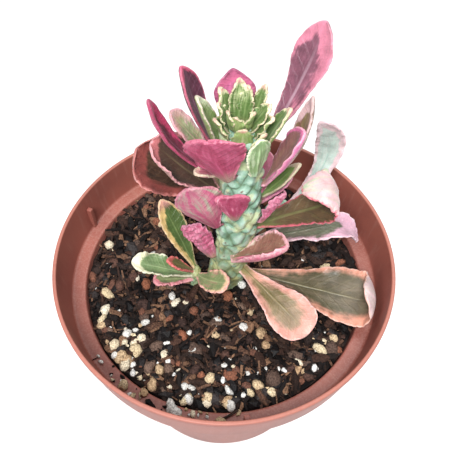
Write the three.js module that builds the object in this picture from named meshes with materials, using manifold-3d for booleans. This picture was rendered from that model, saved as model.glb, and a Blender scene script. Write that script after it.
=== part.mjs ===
// Potted variegated euphorbia: a knobbly upright succulent stem that carries paddle-shaped leaves,
// with a small side shoot, growing in gritty soil in a round plastic nursery pot.
//
// Millimetres, +Z up. The origin is the centre of the pot's foot, and -Y is the side the plant is
// seen from. Every blade is one closed solid: a swept mid-surface with a thickness that tapers
// towards its margins.
import * as THREE from 'three';
import { mergeVertices } from 'three/addons/utils/BufferGeometryUtils.js';
import Module from 'manifold-3d';

const wasm = await Module();
wasm.setup();

// ---------------------------------------------------------------- driving sizes

// Clearance between neighbouring solids, and what the cuts for the leaf roots add to it.
const GAP = 0.3;
const EXTRA = { stem: 0.12, shoot: 0.05, soil: 0.05 };

// Round tapered pot with a stepped collar, a ledge inside it and a raised, drained floor.
const POT = {
  segments: 40,
  height: 105,
  lipRadius: 65,
  lipWidth: 1.4,
  lipBevel: { drop: 0.5, inset: 0.4 },
  collarDepth: 17.5,
  collarFootRadius: 61.5,
  ledgeRadius: 56.1,
  wall: 1.7,
  baseRadius: 46,
  footWidth: 2.6,
  floorUnder: 2.6,
  floorTop: 4.6,
  ribs: { count: 3, firstAzimuth: 38, width: 2.2, depth: 1.1, height: 12, sunk: 0.5 },
  drains: { count: 6, radius: 4, circle: 31, segments: 12 },
};

// Gritty soil that fills the pot up to just under the ledge. The broad waves in its surface have
// their turns a millimetre, and so have the small lumps.
const SOIL = {
  level: 86,
  segments: 40,
  rings: 9,
  skirt: 2,
  relief: 0.7,
  swells: { x: 0.13, y: 0.17, start: 1, share: 0.5, crossX: 0.31, crossY: 0.23 },
  lumps: { height: 1.1, x: 2.7, y: 3.1, sway: 1.3, swayY: 1.9 },
  seed: 11,
  grains: 120,
  grainRadius: [2, 4],
  grainSpacing: 0.95,
  grainStand: 0.2,
  chip: { size: [0.8, 1.15], tilt: [0.6, 1], wide: [0.75, 1], tall: [0.65, 0.85] },
  surfaceBand: 0.5,
  keepOff: { wall: 1.6, stem: 12.5, shoot: 6.2 },
  holeAbove: 6,
};

// The upright stem: a leaning axis, a tubercled skin and a plain buried peg.
const STEM = {
  top: 77,
  reach: 80,
  lean: { start: 0.5, bow: 4.5, halfTurns: 0.75, back: 4 },
  radius: 7,
  shoulder: 55,
  shrink: 1.6,
  face: 1,
  columns: 16,
  rowPitch: 2.5,
  knob: 0.85,
  pegRadius: 7.1,
  collar: 1.5,
  pegDepth: 24,
};

// How far a knob stands out and a dip sinks in, as shares of the knob's size, and how much of the
// radius is left at a stem's top.
const SKIN = { out: 1.3, dip: -0.7, top: 0.7 };

// The small side shoot that rises from the soil beside the stem.
const SHOOT = {
  foot: [-12, -3],
  tip: [-11, -1],
  top: 7,
  radius: 2.1,
  face: -0.5,
  columns: 10,
  rowPitch: 1.5,
  knob: 0.35,
  pegRadius: 2.3,
  collar: 1.6,
  pegDepth: 9,
};

// Shape of a blade unless its row says otherwise. Angles are in degrees and lengths in millimetres:
//   rise, bend   slope of the blade at its root, and what is added to it by the tip
//   hook, hookAt extra curl and the share of the length where it starts
//   aim, swerve  heading away from the azimuth at the root, and what is added by the tip
//   roll, twist  turn about the blade's own length at the root, and what is added by the tip
//   cup, fold    slope of the margins right and left, and how sharply it sits at the margin
//   broad, neck  share of the length where the blade is widest, and how late it widens
//   root, tip    share of the width at the root, and how pointed the end is
//   wave, tooth  height of the waves in the margin, and depth of its scallops
const BLADE = {
  aim: 0,
  bend: 0,
  swerve: 0,
  roll: 0,
  twist: 0,
  hook: 0,
  hookAt: 0.7,
  cup: [20, 20],
  fold: 1,
  broad: 0.66,
  neck: 1.2,
  root: 0.25,
  tip: 0.2,
  wave: 0,
  tooth: 0,
  out: 0,
  thick: 1.2,
};

// What all blades share: the share of the root's stand at which it is sunk, the share of the length
// by which the cup is full, how much thinner the margin is, the least share of the width, the waves
// in a length and how far the left margin's run behind the right one's.
const LAMINA = {
  sunk: 0.4,
  cupFull: 0.35,
  cupStart: 0.5,
  thinner: 0.4,
  least: 0.06,
  waves: 2.6,
  lag: 2.2,
  endPower: 2.2,
  endSharpness: { power: 0.6, round: 0.5, point: 0.35 },
};

// How finely a blade is cut up along and across, how much its cuts crowd at the tip, the short
// steps in which its spine and its cross-section are walked, and the width of a narrow blade.
const MESH = {
  narrowBelow: 10,
  crowd: 1.4,
  spineSteps: 60,
  crossSteps: 8,
  wide: { along: 11, across: 4 },
  narrow: { along: 9, across: 2 },
  young: { along: 6, across: 2 },
};

// ---------------------------------------------------------------- finishes

const finish = (color, roughness) => new THREE.MeshStandardMaterial({ color, roughness, metalness: 0 });

const FINISH = {
  pot: finish(0x8a4a40, 0.5),
  soil: finish(0x3a2a22, 0.95),
  stem: finish(0x9dbba4, 0.6),
  maroon: finish(0x8b4a5c, 0.5),
  pink: finish(0xd9688a, 0.5),
  olive: finish(0x7f7a52, 0.5),
  green: finish(0x7fa35a, 0.5),
  cream: finish(0xd8dcb0, 0.5),
  lilac: finish(0xd69ab8, 0.5),
};

// ---------------------------------------------------------------- the leaves

// One row a leaf: at is [height on its stem, azimuth], size is [length, width].
const LEAVES = [
  // upper whorl
  { name: 'leaf_top_01', at: [66, 40], size: [44, 13.5], rise: 43, bend: 32, broad: 0.78, neck: 2,
    root: 0.22, tip: 0.4, wave: 0.5, finish: 'maroon' },
  { name: 'leaf_top_02', at: [66, 160], size: [33, 10.5], rise: 60, bend: 18, cup: [50, 50],
    broad: 0.72, neck: 1.5, tip: 0.5, finish: 'maroon' },
  { name: 'leaf_top_03', at: [74, 102], size: [18, 13.5], rise: 62, bend: 10, cup: [35, 35], tip: 1,
    tooth: 0.06, finish: 'pink' },
  { name: 'leaf_top_04', at: [70, 168], size: [20.5, 8.5], rise: 68, bend: 6, cup: [70, 70],
    broad: 0.55, root: 0.5, tip: 0.8, finish: 'green' },
  { name: 'leaf_top_05', at: [64, 174], size: [24, 9], aim: -4, rise: 50, bend: 6, cup: [30, 30],
    broad: 0.75, tip: 0, finish: 'cream' },
  { name: 'leaf_top_06', at: [60, 176], size: [37, 7.5], rise: 24, bend: 64, cup: [60, 60],
    finish: 'pink' },
  { name: 'leaf_top_07', at: [54, 18], size: [38, 9], rise: 42, bend: 56, cup: [55, 55], tip: 0.9,
    finish: 'olive' },
  { name: 'leaf_top_08', at: [72, 2], size: [17, 8], rise: 62, bend: 8, cup: [50, 50], broad: 0.5,
    root: 0.5, tip: 0.8, tooth: 0.1, finish: 'green' },
  { name: 'leaf_top_09', at: [67, -56], size: [16, 8.3], rise: 83, bend: 4, cup: [5, 5], root: 0.4,
    tip: 0.6, tooth: 0.1, out: 0.2, finish: 'cream' },
  { name: 'leaf_top_10', at: [66, -116], size: [17.5, 20.5], aim: -65, rise: 62, bend: 12, roll: 80,
    cup: [30, 20], broad: 0.72, root: 0.2, tooth: 0.04, out: 1.4, finish: 'pink' },
  // middle whorl
  { name: 'leaf_mid_01', at: [57, 0], size: [25, 14], rise: 58, bend: 16, cup: [60, 30],
    finish: 'pink' },
  { name: 'leaf_mid_02', at: [51, 172], size: [29, 19], rise: 38, bend: 12, roll: -17, cup: [20, 90],
    fold: 1.6, root: 0.2, wave: 0.8, tooth: 0.06, finish: 'olive' },
  { name: 'leaf_mid_03', at: [46, 160], size: [34, 22], aim: 14, rise: 30, bend: 10, roll: -18,
    hook: 20, cup: [40, 30], broad: 0.74, neck: 1.9, root: 0.18, wave: 1, tooth: 0.05,
    finish: 'olive' },
  { name: 'leaf_mid_04', at: [63, -160], size: [9, 5], rise: 24, cup: [50, 50], finish: 'pink' },
  { name: 'leaf_mid_05', at: [48, -103], size: [12, 12], aim: -77, rise: 84, roll: 90, cup: [30, 30],
    broad: 0.7, finish: 'pink' },
  { name: 'leaf_mid_06', at: [49.5, 10], size: [18, 7], rise: 48, bend: 6, cup: [40, 40], broad: 0.5,
    tip: 0.8, finish: 'green' },
  { name: 'leaf_mid_07', at: [40, -147], size: [23, 17.4], aim: -28, rise: 62, bend: 8, roll: 92,
    cup: [36, 36], broad: 0.6, root: 0.18, tip: 0.8, tooth: 0.04, out: 0.8, finish: 'pink' },
  { name: 'leaf_mid_08', at: [45, 20], size: [17, 9], rise: 42, bend: 14, cup: [50, 50],
    finish: 'pink' },
  { name: 'leaf_mid_09', at: [40.8, -20], size: [17, 8], aim: 20, rise: 60, bend: 10, roll: -40,
    cup: [50, 50], wave: 0.5, finish: 'pink' },
  // lower whorl
  { name: 'leaf_low_01', at: [35, 6], size: [47, 19], rise: 18, bend: 6, hook: 190, hookAt: 0.42,
    cup: [24, 24], wave: 0.6, finish: 'olive' },
  { name: 'leaf_low_02', at: [20, 42], size: [76, 12], rise: 2, twist: 70, hook: 130, hookAt: 0.18,
    cup: [30, 30], broad: 0.74, neck: 3, root: 0.18, tip: 0.6, wave: 0.6, finish: 'cream' },
  { name: 'leaf_low_03', at: [25.5, 27], size: [18, 7.5], rise: 44, cup: [50, 50], tip: 0.8,
    finish: 'green' },
  { name: 'leaf_low_04', at: [25, -92], size: [24, 16], aim: 80, rise: 34, bend: 8, cup: [110, 40],
    fold: 1.3, tooth: 0.05, finish: 'pink' },
  { name: 'leaf_low_05', at: [24.5, 6], size: [44, 13], rise: 13, hook: -70, hookAt: 0.5, cup: [30, 30],
    tip: 0, wave: 0.9, finish: 'lilac' },
  { name: 'leaf_low_06', at: [19, -158], size: [22, 11], aim: -20, rise: 64, bend: 6, roll: 80,
    cup: [40, 40], root: 0.4, wave: 0.5, tooth: 0.06, finish: 'lilac' },
  { name: 'leaf_low_07', at: [14, -46], size: [34, 18.5], rise: -4, bend: -6, broad: 0.8, neck: 1.5,
    tip: 0.1, wave: 0.7, finish: 'olive' },
  { name: 'leaf_low_08', at: [6, -14], size: [60, 24.5], rise: -1, twist: 10, hook: 160, hookAt: 0.72,
    broad: 0.76, neck: 1.5, root: 0.2, tip: 0.15, wave: 0.7, finish: 'olive' },
  // behind the stem
  { name: 'leaf_back_01', at: [52, 95], size: [26, 12], rise: 34, bend: 10, finish: 'olive' },
  { name: 'leaf_back_02', at: [38, 122], size: [25, 13], rise: 26, bend: 10, finish: 'cream' },
  { name: 'leaf_back_03', at: [34, 68], size: [24, 12], rise: 26, bend: 12, finish: 'pink' },
  { name: 'leaf_back_04', at: [20, 100], size: [30, 15], rise: 14, bend: 6, wave: 0.5,
    finish: 'olive' },
  // side shoot
  { name: 'leaf_side_01', on: 'shoot', at: [7, 132], size: [31, 10.5], rise: 52, cup: [30, 30],
    root: 0.2, tip: 0.5, tooth: 0.05, finish: 'green' },
  { name: 'leaf_side_02', on: 'shoot', at: [6.2, -160], size: [16, 6.5], rise: 52, cup: [30, 30],
    tip: 0.8, tooth: 0.1, finish: 'olive' },
  { name: 'leaf_side_03', on: 'shoot', at: [4, -166], size: [25, 12], aim: -14, rise: 20, cup: [30, 60],
    root: 0.2, wave: 0.6, tooth: 0.06, finish: 'green' },
  { name: 'leaf_side_04', on: 'shoot', at: [4.8, -56], size: [20, 10], rise: 36, swerve: 34, roll: 20,
    cup: [30, 30], broad: 0.7, wave: 0.5, tooth: 0.06, finish: 'green' },
  { name: 'leaf_side_05', on: 'shoot', at: [2.6, -136], size: [16, 8.5], aim: -34, rise: 11,
    cup: [30, 50], broad: 0.75, wave: 0.5, tooth: 0.1, finish: 'olive' },
];

// The young rosette at the tip of the stem, one ragged little leaf a row, its at and size as in
// the rows above.
const YOUNG = {
  common: { cup: [40, 40], broad: 0.5, root: 0.6, tip: 0.9, tooth: 0.16, out: -3, bend: 8 },
  rows: [
    { at: [78, 95], size: [15, 7], rise: 76 },
    { at: [79, 70], size: [12, 5.5], rise: 74 },
    { at: [77, 140], size: [14, 6.5], rise: 68 },
    { at: [78, 165], size: [10, 6], rise: 66 },
    { at: [76, 195], size: [10, 7], rise: 60 },
    { at: [78, 20], size: [10, 7], rise: 50 },
    { at: [76, 0], size: [10, 6], rise: 50 },
    { at: [75, 50], size: [16, 6], rise: 60 },
    { at: [74, -84], size: [9, 7], rise: 84, out: -3 },
    { at: [74, -36], size: [9, 6], rise: 62, out: -2 },
    { at: [80, -20], size: [7, 5], rise: 70, out: -4 },
    { at: [80, -110], size: [6, 5], rise: 80, out: -4 },
    { at: [80, 200], size: [7, 5], rise: 74, out: -4 },
  ],
  core: { height: 78, radius: 4.2, tall: 4.6 },
};

// ---------------------------------------------------------------- small maths

const radians = THREE.MathUtils.degToRad;
const clamp01 = (x) => THREE.MathUtils.clamp(x, 0, 1);
const smooth = (x) => THREE.MathUtils.smoothstep(x, 0, 1);

// A repeatable stream of numbers between 0 and 1.
function stream(seed) {
  let state = seed;
  return () => {
    state = (state + 0x6d2b79f5) | 0;
    let t = Math.imul(state ^ (state >>> 15), 1 | state);
    t = (t + Math.imul(t ^ (t >>> 7), 61 | t)) ^ t;
    return ((t ^ (t >>> 14)) >>> 0) / 4294967296;
  };
}

// ---------------------------------------------------------------- solids and meshes

// A closed three.js geometry as a solid, with its faces turned outwards.
function toSolid(geometry) {
  const bare = geometry.clone();
  bare.deleteAttribute('normal');
  bare.deleteAttribute('uv');
  const merged = mergeVertices(bare, 1e-4);
  const spots = merged.getAttribute('position');
  const corners = [];
  let volume = 0;
  const p = new THREE.Vector3();
  const q = new THREE.Vector3();
  const r = new THREE.Vector3();
  for (let k = 0; k < merged.index.count; k += 3) {
    const [a, b, c] = [0, 1, 2].map((n) => merged.index.getX(k + n));
    if (a === b || b === c || c === a) continue;
    corners.push([a, b, c]);
    p.fromBufferAttribute(spots, a);
    q.fromBufferAttribute(spots, b);
    r.fromBufferAttribute(spots, c);
    volume += p.dot(q.cross(r));
  }
  const ordered = volume < 0 ? corners.map(([a, b, c]) => [a, c, b]) : corners;
  return new wasm.Manifold(
    new wasm.Mesh({
      numProp: 3,
      vertProperties: new Float32Array(spots.array),
      triVerts: new Uint32Array(ordered.flat()),
    }),
  );
}

// Points and triangles as a solid.
function solidFrom(points, triangles) {
  const geometry = new THREE.BufferGeometry();
  geometry.setAttribute('position', new THREE.Float32BufferAttribute(points.flatMap((v) => v.toArray()), 3));
  geometry.setIndex(triangles.flat());
  return toSolid(geometry);
}

// A solid as a three.js mesh.
function toMesh(name, solid, material) {
  const { numProp, vertProperties, triVerts } = solid.getMesh();
  const geometry = new THREE.BufferGeometry();
  const spots = new THREE.InterleavedBuffer(vertProperties, numProp);
  geometry.setAttribute('position', new THREE.InterleavedBufferAttribute(spots, 3, 0));
  geometry.setIndex(new THREE.BufferAttribute(triVerts, 1));
  const flat = geometry.toNonIndexed();
  flat.computeVertexNormals();
  const mesh = new THREE.Mesh(flat, material);
  mesh.name = name;
  return mesh;
}

// The biggest body of a solid, without crumbs that a cut has split off.
const biggest = (solid) => solid.decompose().sort((a, b) => b.volume() - a.volume())[0];

// A lathe turned about +Z.
const turned = (profile, segments) => {
  const points = profile.map(([r, z]) => new THREE.Vector2(r, z));
  return toSolid(new THREE.LatheGeometry(points, segments).rotateX(Math.PI / 2));
};

// A round bar along +Z between two heights.
const bar = (radius, segments, from, to, x, y) => {
  const shape = new THREE.CylinderGeometry(radius, radius, to - from, segments);
  return toSolid(shape.rotateX(Math.PI / 2).translate(x, y, (from + to) / 2));
};

// ---------------------------------------------------------------- pot

function potSolid() {
  const P = POT;
  const ledge = P.height - P.collarDepth;
  const step = P.collarFootRadius + P.wall;
  const solid = turned(
    [
      [0, P.floorUnder],
      [P.baseRadius - P.footWidth - 1, P.floorUnder],
      [P.baseRadius - P.footWidth, 0],
      [P.baseRadius, 0],
      [P.ledgeRadius + P.wall, ledge - P.wall],
      [step, ledge - P.wall],
      [P.lipRadius, P.height - P.lipBevel.drop],
      [P.lipRadius - P.lipBevel.inset, P.height],
      [P.lipRadius - P.lipWidth, P.height],
      [P.collarFootRadius, ledge],
      [P.ledgeRadius, ledge],
      [P.baseRadius - P.wall, P.floorTop],
      [0, P.floorTop],
    ],
    P.segments,
  );
  let pot = solid;
  for (let k = 0; k < P.ribs.count; k += 1) {
    const azimuth = radians(P.ribs.firstAzimuth + (k * 360) / P.ribs.count);
    const rib = new THREE.BoxGeometry(P.ribs.depth * 2, P.ribs.width, P.ribs.height);
    rib.translate(P.collarFootRadius, 0, ledge + P.ribs.height / 2 - P.ribs.sunk).rotateZ(azimuth);
    pot = pot.add(toSolid(rib));
  }
  for (let k = 0; k < P.drains.count; k += 1) {
    const azimuth = (k * 2 * Math.PI) / P.drains.count;
    const x = P.drains.circle * Math.cos(azimuth);
    const y = P.drains.circle * Math.sin(azimuth);
    pot = pot.subtract(bar(P.drains.radius, P.drains.segments, -1, P.floorTop + 1, x, y));
  }
  return pot;
}

// ---------------------------------------------------------------- stems

// Centre of the upright stem at a height above the soil.
function stemAxis(height) {
  const { start, bow, halfTurns, back } = STEM.lean;
  const k = height / STEM.reach;
  const x = start + bow * Math.sin(Math.PI * halfTurns * k);
  return new THREE.Vector3(x, back * k * k, SOIL.level + height);
}

function stemRadius(height) {
  const above = Math.max(0, (height - STEM.shoulder) / (STEM.reach - STEM.shoulder));
  return STEM.radius - STEM.shrink * above;
}

// Centre of the side shoot at a height above the soil.
function shootAxis(height) {
  const k = height / SHOOT.top;
  const x = THREE.MathUtils.lerp(SHOOT.foot[0], SHOOT.tip[0], k);
  const y = THREE.MathUtils.lerp(SHOOT.foot[1], SHOOT.tip[1], k);
  return new THREE.Vector3(x, y, SOIL.level + height);
}

// A stem skin: rings of alternating knobs and dips, four facets a knob, on a plain buried peg.
function stemSolid(sizes, axis, radiusAt, grow) {
  const rings = [];
  const addRing = (height, radii) => {
    const centre = axis(height > sizes.collar ? height : 0);
    const ring = [];
    for (let n = 0; n < sizes.columns; n += 1) {
      const azimuth = (n * 2 * Math.PI) / sizes.columns;
      const r = radii(n) + grow;
      const [x, y] = [centre.x + r * Math.cos(azimuth), centre.y + r * Math.sin(azimuth)];
      ring.push(new THREE.Vector3(x, y, SOIL.level + height));
    }
    rings.push(ring);
  };
  addRing(-sizes.pegDepth - grow, () => sizes.pegRadius);
  addRing(sizes.collar, () => sizes.pegRadius);
  const rows = Math.floor((sizes.top - sizes.collar - 1) / sizes.rowPitch);
  for (let row = 1; row <= rows; row += 1) {
    const height = sizes.collar + row * sizes.rowPitch;
    const parity = row % 2;
    addRing(height, (n) => radiusAt(height) + sizes.knob * (n % 2 === parity ? SKIN.out : SKIN.dip));
  }
  addRing(sizes.top + grow, () => radiusAt(sizes.top) * SKIN.top);

  const columns = sizes.columns;
  const points = rings.flat();
  const triangles = [];
  for (let i = 0; i < rings.length - 1; i += 1) {
    for (let n = 0; n < columns; n += 1) {
      const a = i * columns + n;
      const b = i * columns + ((n + 1) % columns);
      const c = b + columns;
      const d = a + columns;
      const knobFirst = (i + n) % 2 === 0;
      triangles.push(...(knobFirst ? [[a, b, c], [a, c, d]] : [[a, b, d], [b, c, d]]));
    }
  }
  for (const [ring, turn] of [[0, -1], [rings.length - 1, 1]]) {
    const hub = points.length;
    const centre = rings[ring].reduce((sum, v) => sum.add(v), new THREE.Vector3());
    points.push(centre.divideScalar(columns));
    for (let n = 0; n < columns; n += 1) {
      const a = ring * columns + n;
      const b = ring * columns + ((n + 1) % columns);
      triangles.push(turn > 0 ? [a, b, hub] : [b, a, hub]);
    }
  }
  return solidFrom(points, triangles);
}

// ---------------------------------------------------------------- blades

// Share of the full width at a share of the length.
function outline(s, leaf) {
  if (s < leaf.broad) {
    const v = s / leaf.broad;
    return leaf.root + (1 - leaf.root) * Math.sin((Math.PI / 2) * v ** leaf.neck);
  }
  const { power, round, point } = LAMINA.endSharpness;
  const u = (s - leaf.broad) / (1 - leaf.broad);
  return Math.max(0, 1 - u ** (LAMINA.endPower - power * leaf.tip)) ** (round + point * leaf.tip);
}

// Directions along, across and out of the blade at a share of its length.
function bladeFrame(s, leaf) {
  const curl = leaf.hook * smooth((s - leaf.hookAt) / (1 - leaf.hookAt));
  const slope = radians(leaf.rise + leaf.bend * s + curl);
  const heading = radians(leaf.at[1] + leaf.aim + leaf.swerve * s);
  const along = new THREE.Vector3(
    Math.cos(slope) * Math.cos(heading),
    Math.cos(slope) * Math.sin(heading),
    Math.sin(slope),
  );
  const flat = new THREE.Vector3(-Math.sin(heading), Math.cos(heading), 0);
  const across = flat.applyAxisAngle(along, radians(leaf.roll + leaf.twist * s));
  const out = new THREE.Vector3().crossVectors(along, across);
  return { along, across, out };
}

// One point of the mid-surface's cross-section at t from -1 to 1, with the way its face looks.
function crossSection(t, s, width, leaf) {
  const steps = MESH.crossSteps;
  const near = clamp01(s / LAMINA.cupFull);
  const share = THREE.MathUtils.lerp(LAMINA.cupStart, 1, near);
  const slope = radians(leaf.cup[t < 0 ? 0 : 1]) * share;
  const reach = Math.abs(t);
  let x = 0;
  let y = 0;
  for (let k = 0; k < steps; k += 1) {
    const angle = slope * (((k + 0.5) / steps) * reach) ** leaf.fold;
    x += (Math.cos(angle) * reach) / steps;
    y += (Math.sin(angle) * reach) / steps;
  }
  const phase = leaf.at[1] + (t > 0 ? 0 : LAMINA.lag);
  const ripple = leaf.wave * t * t * near * Math.sin(2 * Math.PI * LAMINA.waves * s + phase);
  const lean = Math.sign(t) * slope * reach ** leaf.fold;
  return { x: Math.sign(t) * x * width, y: y * width + ripple, lean };
}

// A leaf's solid, its root running on into the stem it grows from.
function bladeSolid(row, density) {
  const leaf = { ...BLADE, ...row };
  const [height, azimuth] = leaf.at;
  const [length, width] = leaf.size;
  const onShoot = leaf.on === 'shoot';
  const radial = new THREE.Vector3(Math.cos(radians(azimuth)), Math.sin(radians(azimuth)), 0);
  const centre = onShoot ? shootAxis(height) : stemAxis(height);
  const skin = onShoot ? SHOOT.radius + SHOOT.face : stemRadius(height) + STEM.face;
  const stand = skin + leaf.out;
  const start = centre.clone().addScaledVector(radial, stand);

  // the spine, walked in short steps
  const steps = MESH.spineSteps;
  const spine = [start];
  for (let k = 0; k < steps; k += 1) {
    const { along } = bladeFrame((k + 0.5) / steps, leaf);
    spine.push(spine[k].clone().addScaledVector(along, length / steps));
  }
  const spot = (s) => {
    const k = Math.min(steps - 1, Math.floor(s * steps));
    return spine[k].clone().lerp(spine[k + 1], s * steps - k);
  };

  const { along: ns, across: nt } = density;
  const upper = [];
  const lower = [];
  const addStation = (s, middle, half, frame) => {
    for (let j = 0; j <= nt; j += 1) {
      const t = -1 + (2 * j) / nt;
      const { x, y, lean } = crossSection(t, s, half, leaf);
      const face = frame.out.clone().multiplyScalar(Math.cos(lean));
      face.addScaledVector(frame.across, -Math.sin(lean));
      const depth = (leaf.thick / 2) * (1 - LAMINA.thinner * t * t);
      const point = middle.clone().addScaledVector(frame.across, x).addScaledVector(frame.out, y);
      upper.push(point.clone().addScaledVector(face, depth));
      lower.push(point.clone().addScaledVector(face, -depth));
    }
  };

  // the sunk root: level, and well inside the stem
  const level = { across: new THREE.Vector3(-radial.y, radial.x, 0), out: new THREE.Vector3(0, 0, 1) };
  const sunk = centre.clone().addScaledVector(radial, stand * LAMINA.sunk);
  addStation(0, sunk, (width / 2) * leaf.root, level);
  for (let i = 0; i <= ns; i += 1) {
    const s = 1 - (1 - i / ns) ** MESH.crowd;
    const scallop = i > 1 && i < ns ? 1 + leaf.tooth * (i % 2 ? 1 : -1) : 1;
    const half = (width / 2) * Math.max(outline(s, leaf), LAMINA.least) * scallop;
    addStation(s, spot(s), half, bladeFrame(s, leaf));
  }

  const row0 = nt + 1;
  const stations = ns + 2;
  const under = upper.length;
  const triangles = [];
  const quad = (a, b, c, d) => triangles.push([a, b, c], [a, c, d]);
  for (let i = 0; i < stations - 1; i += 1) {
    for (let j = 0; j < nt; j += 1) {
      const a = i * row0 + j;
      const b = a + row0;
      if (j < nt / 2) {
        quad(a, b, b + 1, a + 1);
        quad(under + a, under + a + 1, under + b + 1, under + b);
      } else {
        quad(b, b + 1, a + 1, a);
        quad(under + a + 1, under + b + 1, under + b, under + a);
      }
    }
    const right = i * row0;
    const left = right + nt;
    quad(right, under + right, under + right + row0, right + row0);
    quad(left, left + row0, under + left + row0, under + left);
  }
  for (let j = 0; j < nt; j += 1) {
    quad(j, j + 1, under + j + 1, under + j);
    const end = (stations - 1) * row0 + j;
    quad(end, under + end, under + end + 1, end + 1);
  }
  return solidFrom([...upper, ...lower], triangles);
}

// ---------------------------------------------------------------- soil

// Height of the soil's surface at a place.
function soilHeight(x, y) {
  const { swells } = SOIL;
  const broad = Math.sin(x * swells.x + swells.start) * Math.cos(y * swells.y);
  const cross = Math.sin(x * swells.crossX - y * swells.crossY);
  return SOIL.level + SOIL.relief * (broad + swells.share * cross);
}

// A small lump to add to it.
function soilLump(x, y) {
  const { height, x: alongX, y: alongY, sway, swayY } = SOIL.lumps;
  return height * Math.sin(x * alongX + sway * Math.sin(y * swayY)) * Math.cos(y * alongY);
}

// One crumb of grit: an uneven, flattened, tilted chip with eight faces.
function grain(random, radius, x, y, z) {
  const chip = new THREE.OctahedronGeometry(radius, 0);
  chip.deleteAttribute('normal');
  chip.deleteAttribute('uv');
  const shape = mergeVertices(chip);
  const spots = shape.getAttribute('position');
  const v = new THREE.Vector3();
  const { size, tilt, wide, tall } = SOIL.chip;
  const between = ([least, most]) => THREE.MathUtils.lerp(least, most, random());
  for (let k = 0; k < spots.count; k += 1) {
    v.fromBufferAttribute(spots, k).multiplyScalar(between(size));
    spots.setXYZ(k, v.x, v.y, v.z);
  }
  shape.rotateX(between(tilt));
  shape.scale(1, between(wide), between(tall));
  shape.rotateZ(random() * Math.PI * 2);
  return toSolid(shape.translate(x, y, z));
}

function soilSolid() {
  const wallAt = (z) => {
    const k = (z - POT.floorTop) / (POT.height - POT.collarDepth - POT.floorTop);
    return THREE.MathUtils.lerp(POT.baseRadius - POT.wall, POT.ledgeRadius, k) - GAP - EXTRA.soil;
  };
  const rim = wallAt(SOIL.level - 1);
  const profile = [
    [0, POT.floorTop + GAP],
    [wallAt(POT.floorTop + GAP), POT.floorTop + GAP],
    [wallAt(SOIL.level - SOIL.skirt), SOIL.level - SOIL.skirt],
  ];
  for (let k = 0; k <= SOIL.rings; k += 1) {
    profile.push([rim * (1 - k / SOIL.rings), SOIL.level]);
  }
  const points = profile.map(([r, z]) => new THREE.Vector2(r, z));
  const body = new THREE.LatheGeometry(points, SOIL.segments).rotateX(Math.PI / 2);
  const spots = body.getAttribute('position');
  for (let k = 0; k < spots.count; k += 1) {
    if (spots.getZ(k) > SOIL.level - SOIL.surfaceBand) {
      const [x, y] = [spots.getX(k), spots.getY(k)];
      spots.setZ(k, soilHeight(x, y) + soilLump(x, y));
    }
  }

  // the grit, sown one crumb after another where it touches nothing that has been placed
  const random = stream(SOIL.seed);
  const placed = [];
  const foot = stemAxis(0);
  const [shootX, shootY] = SHOOT.foot;
  while (placed.length < SOIL.grains) {
    const angle = random() * Math.PI * 2;
    const radius = THREE.MathUtils.lerp(...SOIL.grainRadius, random() ** 2);
    const distance = Math.sqrt(random()) * (rim - SOIL.keepOff.wall - radius);
    const x = distance * Math.cos(angle);
    const y = distance * Math.sin(angle);
    const apart = (other) => {
      const touching = (radius + other.radius) * SOIL.grainSpacing;
      return Math.hypot(x - other.x, y - other.y) > touching;
    };
    const free = Math.hypot(x - foot.x, y - foot.y) > SOIL.keepOff.stem
      && Math.hypot(x - shootX, y - shootY) > SOIL.keepOff.shoot;
    if (free && placed.every(apart)) placed.push({ x, y, radius });
  }
  const grit = placed.map(({ x, y, radius }) => {
    const z = soilHeight(x, y) + radius * SOIL.grainStand;
    return grain(random, radius, x, y, z);
  });
  const hole = (sizes, x, y) => {
    const bottom = SOIL.level - sizes.pegDepth - GAP;
    return bar(sizes.pegRadius + GAP, sizes.columns, bottom, SOIL.level + SOIL.holeAbove, x, y);
  };
  const holes = [hole(STEM, foot.x, foot.y), hole(SHOOT, shootX, shootY)];
  return biggest(wasm.Manifold.union([toSolid(body), ...grit]).subtract(wasm.Manifold.union(holes)));
}

// ---------------------------------------------------------------- the young rosette

function crownSolid() {
  const { core, rows, common } = YOUNG;
  const heart = new THREE.IcosahedronGeometry(core.radius, 1);
  heart.scale(1, 1, core.tall / core.radius);
  heart.translate(...stemAxis(core.height).toArray());
  const leaves = rows.map((row) => bladeSolid({ ...common, ...row }, MESH.young));
  return wasm.Manifold.union([toSolid(heart), ...leaves]);
}

// ---------------------------------------------------------------- the whole plant in its pot

const stem = stemSolid(STEM, stemAxis, stemRadius, 0);
const stemClear = stemSolid(STEM, stemAxis, stemRadius, GAP + EXTRA.stem);
const shoot = stemSolid(SHOOT, shootAxis, () => SHOOT.radius, 0);
const shootClear = stemSolid(SHOOT, shootAxis, () => SHOOT.radius, GAP + EXTRA.shoot);

const pottedEuphorbia = new THREE.Group();
pottedEuphorbia.add(toMesh('pot', potSolid(), FINISH.pot));
pottedEuphorbia.add(toMesh('soil', soilSolid(), FINISH.soil));
pottedEuphorbia.add(toMesh('stem', stem, FINISH.stem));
pottedEuphorbia.add(toMesh('side_shoot', shoot, FINISH.stem));
pottedEuphorbia.add(toMesh('crown', biggest(crownSolid().subtract(stemClear)), FINISH.green));
for (const row of LEAVES) {
  const density = row.size[1] < MESH.narrowBelow ? MESH.narrow : MESH.wide;
  const clear = row.on === 'shoot' ? shootClear : stemClear;
  const blade = biggest(bladeSolid(row, density).subtract(clear));
  pottedEuphorbia.add(toMesh(row.name, blade, FINISH[row.finish]));
}

export default pottedEuphorbia;
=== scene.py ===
"""A potted variegated euphorbia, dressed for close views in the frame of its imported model.

Metres, +Z up. The origin is the centre of the pot's foot and -Y is the side the plant is seen from.
Sizes of the plant and pot are given in millimetres, as a grower would read them off.
"""

import logging
import math
from dataclasses import dataclass, replace
from enum import Enum

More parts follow.
